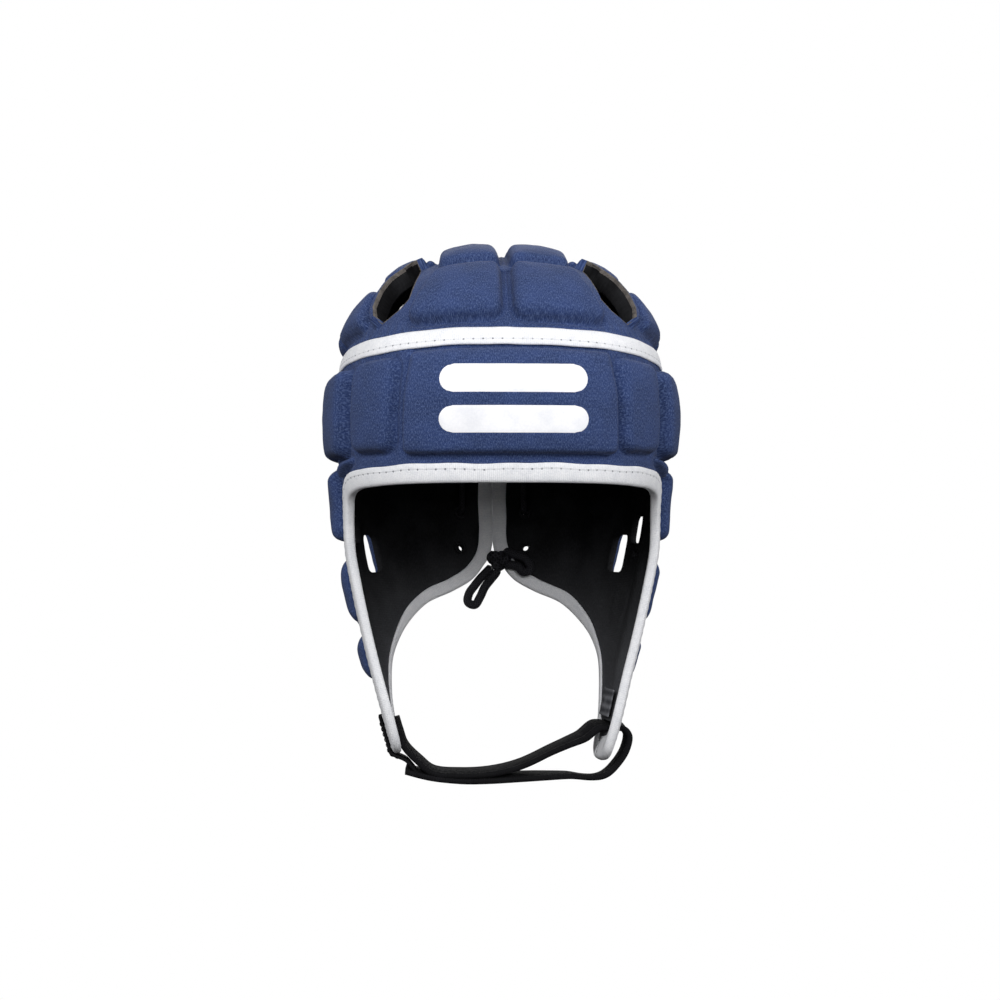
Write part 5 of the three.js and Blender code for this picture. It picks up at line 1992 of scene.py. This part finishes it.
@dataclass
class BackLacing:
    """Eyelets, cord, knot and bow loops of the back slit."""

    diameter: float = 3.0
    bow_diameter: float = 4.8
    rows: tuple[float, float, float] = EYELET_ROWS
    offset: float = EYELET_REACH
    bore: float = 1.7
    knot_depth: float = 154.4
    knot_x: float = 3.2
    knot_radius: float = 6.2
    knot_lift: float = -0.6
    over: float = 8.3
    under: float = -4.1

    def at(self, x: float, z: float, height: float) -> Array:
        """Point over the back wall."""
        return FORM.lift(FORM.back_foot(np.float64(x), np.float64(z)), height)

    def from_knot(self, *direction: float) -> list[Array]:
        """First two points of a cord that leaves the knot in a direction."""
        size = [self.knot_radius, self.knot_radius * 0.85, self.knot_radius * 0.9]
        share = 1 / math.hypot(*(d / s for d, s in zip(direction, size)))
        points = []
        for gap in (0.4, 1.7):
            reach = share + gap / math.hypot(*direction)
            base = (self.knot_x, -self.knot_depth, self.knot_lift)
            points.append(self.at(*(b + d * reach for b, d in zip(base, direction))))
        return points

    def lace_path(self) -> Array:
        """Route of the lace from one side of the knot to the other."""
        low, high = self.rows[1], self.rows[2]
        e, turn = self.offset, 2.4
        half = [
            self.at(e - 5.5, self.rows[0] + 0.5, self.over + 0.3), self.at(e - 1.6, low - 4, self.over + 0.2),
            self.at(e, low, 5.6), self.at(e, low, 0.5),
            self.at(e, low + turn, self.under), self.at(e, high - turn, self.under),
            self.at(e, high, 0.5), self.at(e, high, 5.6),
            self.at(e - turn, high, self.over + 0.3), self.at(e / 2, high, self.over),
        ]  # fmt: skip
        rest = [p * np.array([-1, 1, 1]) for p in half[::-1]]
        rest[-1] = self.at(-e, self.rows[0] - 0.3, self.over - 0.4)
        near = self.knot_x + 4.2
        start = [*self.from_knot(0.5, 0.62, 0.6), self.at(near, -self.knot_depth + 3.8, self.over - 0.3)]
        last = self.at(-near + 3.0, -self.knot_depth + 3.8, self.over - 0.3)
        end = [*self.from_knot(-0.5, 0.62, 0.6), last]
        return spline(np.array(start + half + rest + end[::-1]), 460, False)

    def eyelets(self, finish: Finish) -> Piece:
        """Makes all stitched eyelets, each a ring on both faces joined through its hole.

        Args:
            finish: Its material.

        Returns:
            The object.
        """
        sides = 64
        section = [(0, 5.0, 0.0), (0.35, 5.55, 0.6), (0.9, 5.7, 1.2), (1.5, 5.3, 1.9), (1.75, 4.4, 2.6)]
        under = [(1.75, 0.2, 7.4), (1.5, -0.55, 8.0), (0.9, -0.85, 8.6), (0.35, -0.7, 9.2), (0, -0.2, 9.8)]
        angles = np.arange(sides) / sides * TURN
        lengths = np.linspace(0, TURN * self.bore, sides + 1)
        arounds = np.array([across for _, _, across in section + under] + [14.8])
        bump = 0.12 * np.abs(np.sin(angles * sides / 4))
        parts = MeshParts()
        for z in self.rows:
            for side in (1, -1):
                foot = FORM.back_foot(np.float64(side * self.offset), np.float64(z))
                normal = FORM.normal_at(foot)
                across = unit(np.cross([0, 0, 1], normal))
                way = np.outer(np.cos(angles), across) + np.outer(np.sin(angles), np.cross(normal, across))
                rings = []
                for grow, height, _ in section + under:
                    radius = self.bore + grow + (bump if 0 < grow < 1.7 else 0.0 * bump)
                    rings.append(foot + normal * height + radius[:, None] * way)
                rows = np.array(rings).transpose(1, 0, 2)
                parts.add(rows, *skin(rows, True, False, lengths, arounds))
        return parts.build("stitched_eyelets", finish)

    def knot(self, finish: Finish) -> Piece:
        """Makes the knot as one cord wound over itself.

        Args:
            finish: Its material.

        Returns:
            The object.
        """
        seat = self.at(self.knot_x, -self.knot_depth, self.knot_lift)
        t = np.linspace(0, TURN, 140, endpoint=False)
        spread = self.knot_radius - self.bow_diameter / 2 + 0.35
        x = spread * (np.sin(t) + 2 * np.sin(2 * t)) / 2.6
        z = spread * (np.cos(t) - 2 * np.cos(2 * t)) / 3.1
        y = -spread * np.sin(3 * t) * 0.55
        path = seat + np.stack([x, y, z], axis=1)
        sides = 12
        rings = tube_rings(np.vstack([path, path[:1]]), self.bow_diameter / 2, sides)
        arounds = np.linspace(0, TURN * self.diameter / 2, sides + 1)
        return swept("tied_knot", rings, False, run_lengths(path, True), arounds, finish)

    def build(self) -> list[Piece]:
        cord = BraidedCord().material()
        thread = Webbing("eyelet_stitching", "121214", "35353a", rib=0.6, fuzz=0.2, depth=0.15).material()
        radius = self.diameter / 2
        names = [f"eyelet_{i + 1}" for i in range(6)]
        pieces = [dress(self.eyelets(thread), "eyelet_thread", *names)]
        pieces.append(dress(cord_object("slit_lace", self.lace_path(), radius, cord), "lace", "back_lace"))
        pieces.append(dress(self.knot(cord), "lace", "lace_knot"))
        outer = [
            *self.from_knot(-0.7, -0.6, 0.5), self.at(-6.4, -163, 6.4), self.at(-9.6, -167, 8),
            self.at(-12.2, -171, 8.2), self.at(-12.8, -175.6, 8), self.at(-9.4, -177.2, 7.6),
            self.at(-6.6, -173, 6.6), self.at(-4.4, -168.4, 4.6), self.at(-1.2, -164.6, 2.2),
            *self.from_knot(-0.2, -1, 0)[::-1],
        ]  # fmt: skip
        inner = [
            *self.from_knot(0.7, 0.5, -0.5), self.at(12, -152.4, -5.4), self.at(16.4, -153.4, -5.8),
            self.at(20.4, -156.4, -5.9), self.at(21.8, -160.6, -5.8), self.at(18.2, -162.2, -5.6),
            self.at(14.6, -159.4, -5.4), self.at(11.4, -158.2, -5.2), *self.from_knot(0.7, -0.45, -0.5)[::-1],
        ]  # fmt: skip
        loops = (("bow_outer", "lace_loop_outer", outer), ("bow_inner", "lace_loop_inner", inner))
        for name, node, points in loops:
            path = spline(np.array(points), 90, False)
            piece = dress(cord_object(name, path, self.bow_diameter / 2, cord), "lace", node)
            route = [tuple(p * MM) for p in SPREAD.settle(path)[::3]]
            pieces.append(piece)
        return pieces


@dataclass
class ChinStrap:
    """Chin strap with its sewn tab, hook tape and the ribbed patch beside its slot."""

    width: float = 19.4
    thick: float = 2.2
    shown_thick: float = 2.8
    middle_y: float = STRAP_Y
    drop: float = 12.6
    ply_gap: float = 0.9
    inside: float = -1.1
    edge_radius: float = 0.7
    roll: float = 4.5

    def face(self, side: int, z: float, height: float) -> Array:
        """Point off a flap in the strap's plane."""
        azimuth = side * FORM.azimuth_at(np.float64(self.middle_y), np.float64(z))
        point = FORM.lift(FORM.wall_point(azimuth, np.float64(z)), height)
        return np.array([point[0], self.middle_y, point[2]])

    def route(self) -> Array:
        """Middle line of the strap, from its inner end round to its free end."""
        tip = -FORM.cap_depth
        low = tip - self.drop - self.thick - self.ply_gap
        high = tip - self.drop
        slot = tip + 16.5
        w = FORM.half_width
        y = self.middle_y
        points = [
            self.face(-1, tip + 16, self.inside), self.face(-1, tip + 9, self.inside),
            self.face(-1, tip + 2, self.inside - 0.4), (-0.5 * w, y, tip - 5.5), (-0.42 * w, y, high + 1.6),
            (-0.26 * w, y, high), (-0.08 * w, y, high + 0.6),
            (0.12 * w, y, high + 4.4), (0.32 * w, y, high + 11.5),
            (0.5 * w, y, high + 19), self.face(1, slot - 2.4, -3.6), self.face(1, slot, 2.15),
            self.face(1, slot + 1.6, 8.7), self.face(1, slot - 1, 12.7), self.face(1, slot - 8, 13.7),
            self.face(1, slot - 16, 11.7), (0.65 * w, y, low + 5.6), (0.54 * w, y, low + 2.4),
            (0.38 * w, y, low + 1.9), (0.14 * w, y, low + 1.1),
            (-0.08 * w, y, low + 0.4), (-0.26 * w, y, low + 0.3),
            (-0.42 * w, y, low + 1.7), (-0.58 * w, y, low + 5.4),
        ]  # fmt: skip
        return spline(np.array(points, float), 300, False)

    def axes(self, path: Array, roll: Array | float) -> tuple[Array, Array]:
        """Directions across a band and out of its face.

        Args:
            path: The band's middle line, in the X Z plane.
            roll: Degrees by which it is turned about that line.

        Returns:
            Both directions, one each a point.
        """
        tangents = unit(np.gradient(path, axis=0))
        flat = np.stack([-tangents[:, 2], np.zeros(len(path)), tangents[:, 0]], axis=1)
        angle = np.radians(np.broadcast_to(np.asarray(roll, float), (len(path),)))[:, None]
        along_y = np.array([0.0, 1.0, 0.0])
        across = np.cos(angle) * along_y + np.sin(angle) * flat
        return across, np.cos(angle) * flat - np.sin(angle) * along_y

    def band(
        self,
        name: str,
        path: Array,
        width: float,
        thick: float,
        finish: Finish,
        roll: Array | float = 0.0,
    ) -> Piece:
        """Sweeps a flat band with rounded edges along a path in the X Z plane.

        Args:
            name: Name of the object.
            path: Its middle line.
            width: Width along Y.
            thick: Thickness.
            finish: Its material.
            roll: Degrees by which it is turned about its middle line.

        Returns:
            The object.
        """
        across, normals = self.axes(path, roll)
        half, deep = width / 2, thick / 2
        r = min(self.edge_radius, deep * 0.9)
        welt = deep * 0.82
        top = [(-half, 0.0), (-half + r * 0.3, deep - r * 0.3), (-half + r, deep),
               (-half + 2.2, deep), (-half + 2.6, welt), (-half + 3.0, deep), (0.0, deep * 1.03),
               (half - 3.0, deep), (half - 2.6, welt), (half - 2.2, deep),
               (half - r, deep), (half - r * 0.3, deep - r * 0.3), (half, 0.0)]  # fmt: skip
        section = top + [(w, -d) for w, d in top[-2:0:-1]]
        lengths = run_lengths(path, False)
        wave = 0.12 * np.sin(lengths / 7.0)
        rings = []
        for w, d in section:
            rings.append(path + across * w + normals * (d + wave)[:, None])
        rows = np.array(rings).transpose(1, 0, 2)
        spread = [w for w, _ in section] + [section[0][0]]
        return swept(name, rows, False, lengths, np.array(spread), finish)

    def stitches(
        self, name: str, path: Array, lift: float, half: float, finish: Finish
    ) -> Piece:
        """Makes two rows of thread along a band.

        Args:
            name: Name of the object.
            path: Middle line of the band.
            lift: Distance of the thread from the middle line.
            half: Distance of each row from the middle.
            finish: Its material.

        Returns:
            The object.
        """
        _, normals = self.axes(path, 0.0)
        lengths = run_lengths(path, False)
        parts = MeshParts()
        arch = np.array([-0.25, 0.1, 0.16, 0.1, -0.25])
        pitch, radius, sides = 2.8, 0.24, 6
        for row in (-half, half):
            for start in np.arange(1.0, lengths[-1] - pitch, pitch):
                places = np.linspace(start, start + pitch * 0.74, 5)
                centre = np.stack([np.interp(places, lengths, path[:, k]) for k in range(3)], axis=1)
                normal = np.stack([np.interp(places, lengths, normals[:, k]) for k in range(3)], axis=1)
                line = centre + normal * (lift + np.sign(lift) * arch)[:, None] + np.array([0.0, row, 0.0])
                rings = tube_rings(line, radius, sides)
                arounds = np.linspace(0, TURN * radius, sides + 1)
                parts.add(rings, *skin(rings, False, True, run_lengths(line, False), arounds))
        return parts.build(name, finish)

    def build(self) -> list[Piece]:
        """Makes strap, tab, hook tape, patch and their thread."""
        tip = -FORM.cap_depth
        strap = Webbing("strap_webbing", "070708", "1a1a1e", rib=1.2, fuzz=0.6, depth=0.18).material()
        hook = Webbing("hook_tape", "0b0b0d", "26262a", rib=0.9, fuzz=0.9, depth=0.35).material()
        patch = Webbing("ribbed_patch", "3b3c40", "a3a4aa", rib=3.9, fuzz=0.1, depth=0.5).material()
        thread = Webbing("black_thread", "141416", "3c3c42", rib=0.5, fuzz=0.2, depth=0.08).material()
        path = self.route()
        along = run_lengths(path, False)
        along /= along[-1]
        roll = self.roll * (1 - smooth_step(0.62, 0.8, along) * 2)
        webbing = self.band("chin_webbing", path, self.width, self.shown_thick, strap, roll)
        pieces = [dress(webbing, "strap_web", "chin_strap")]
        height = 5.3 + 0.3 + 0.8
        high = tip - self.drop
        w = FORM.half_width
        tab = [self.face(-1, tip + z, height) for z in (19, 14, 9, 4, 0.5)]
        tab += [np.array([x * w, self.middle_y, z]) for x, z in ((-0.575, tip - 5.4), (-0.5, high - 0.4))]
        tab = spline(np.array(tab), 44, False)
        pieces.append(dress(self.band("sewn_tab", tab, self.width, 1.6, strap), "strap_web", "strap_tab"))
        low = tip - self.drop - self.thick - self.ply_gap
        across, level = path[:, 0], path[:, 2]
        near = (across > -0.46 * FORM.half_width) & (across < 0) & (level > low + 2) & (level < tip)
        run = path[near]
        run = run[run[:, 0] < run[0, 0] + 34] - np.array([0.0, 0.0, self.thick / 2 + self.ply_gap / 2])
        hooks = self.band("hook_band", run, self.width * 0.86, 0.7, hook, self.roll)
        pieces.append(dress(hooks, "hook_tape", "hook_strip"))
        slot = tip + 16.5
        rows = np.array([self.face(1, slot + 3.5 + 12 * i / 20, -1.5) for i in range(21)])
        pieces.append(dress(self.band("slot_webbing", rows, 21.4, 0.9, patch), "patch_web", "slot_patch"))
        threads = self.stitches("tab_thread", tab[2:30], -0.85, 7.6, thread)
        pieces.append(dress(threads, "strap_web"))
        return pieces


# Studio


@dataclass(frozen=True)
class Studio:
    """Camera, lights and surroundings."""

    distance: float = 1.3
    azimuth: float = -2.5
    target: tuple[float, float, float] = (0.0, 0.0, -0.121)
    lens: float = 90.09
    room_light: float = 0.06

    def camera(self) -> None:
        """Places the camera at the photograph's angle."""
        data = bpy.data.cameras.new("camera")
        data.lens = self.lens
        data.sensor_width = 36.0
        data.clip_end = 50.0
        camera = bpy.data.objects.new("camera", data)
        turn = math.radians(self.azimuth)
        offset = Vector((math.sin(turn), -math.cos(turn), 0.0)) * self.distance
        camera.location = Vector(self.target) + offset
        camera.rotation_euler = (math.radians(90), 0.0, turn)
        bpy.context.scene.collection.objects.link(camera)
        bpy.context.scene.camera = camera

    def area_light(self, name: str, place: tuple[float, float, float], size: float, power: float) -> None:
        """Adds a soft light that looks at the cap.

        Args:
            name: Name of the light.
            place: Where it stands.
            size: Side of its square.
            power: Watts.
        """
        data = bpy.data.lights.new(name, "AREA")
        data.shape = "SQUARE"
        data.size = size
        data.energy = power
        light = bpy.data.objects.new(name, data)
        light.location = place
        way = Vector(self.target) - Vector(place)
        light.rotation_euler = way.to_track_quat("-Z", "Y").to_euler()
        bpy.context.scene.collection.objects.link(light)

    def build(self) -> None:
        """Sets camera, lights and the white surroundings."""
        self.camera()
        for name, (place, size, power) in LIGHTS.items():
            self.area_light(name, place, size, power)
        world = bpy.data.worlds.new("surroundings")
        world.use_nodes = True
        nodes, links = world.node_tree.nodes, world.node_tree.links
        background = nodes["Background"]
        background.inputs[0].default_value = (1.0, 1.0, 1.0, 1.0)
        rays = nodes.new("ShaderNodeLightPath")
        level = nodes.new("ShaderNodeMapRange")
        level.inputs[3].default_value = self.room_light
        level.inputs[4].default_value = 1.0
        links.new(rays.outputs["Is Camera Ray"], level.inputs[0])
        links.new(level.outputs[0], background.inputs[1])
        bpy.context.scene.world = world
        bpy.context.scene.view_settings.view_transform = "Standard"


def main() -> None:
    """Builds every piece of the cap round the CAD frame."""
    logging.basicConfig(level=logging.INFO, format="%(name)s: %(message)s")
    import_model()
    Studio().build()
    edge = LowerEdge()
    frames = edge.frames()
    pieces = BackLacing().build()
    shell = PaddedShell(Padding(), edge, frames).build()
    pieces += shell
    pieces += EdgeTapes(frames).build()
    wall = next(piece for piece in shell if piece.name == "wall_cover")
    pieces += ForeheadPrint(wall).build()
    pieces += ChinStrap().build()
    LOG.info("%d pieces", len(pieces))


if __name__ == "__main__":
    main()
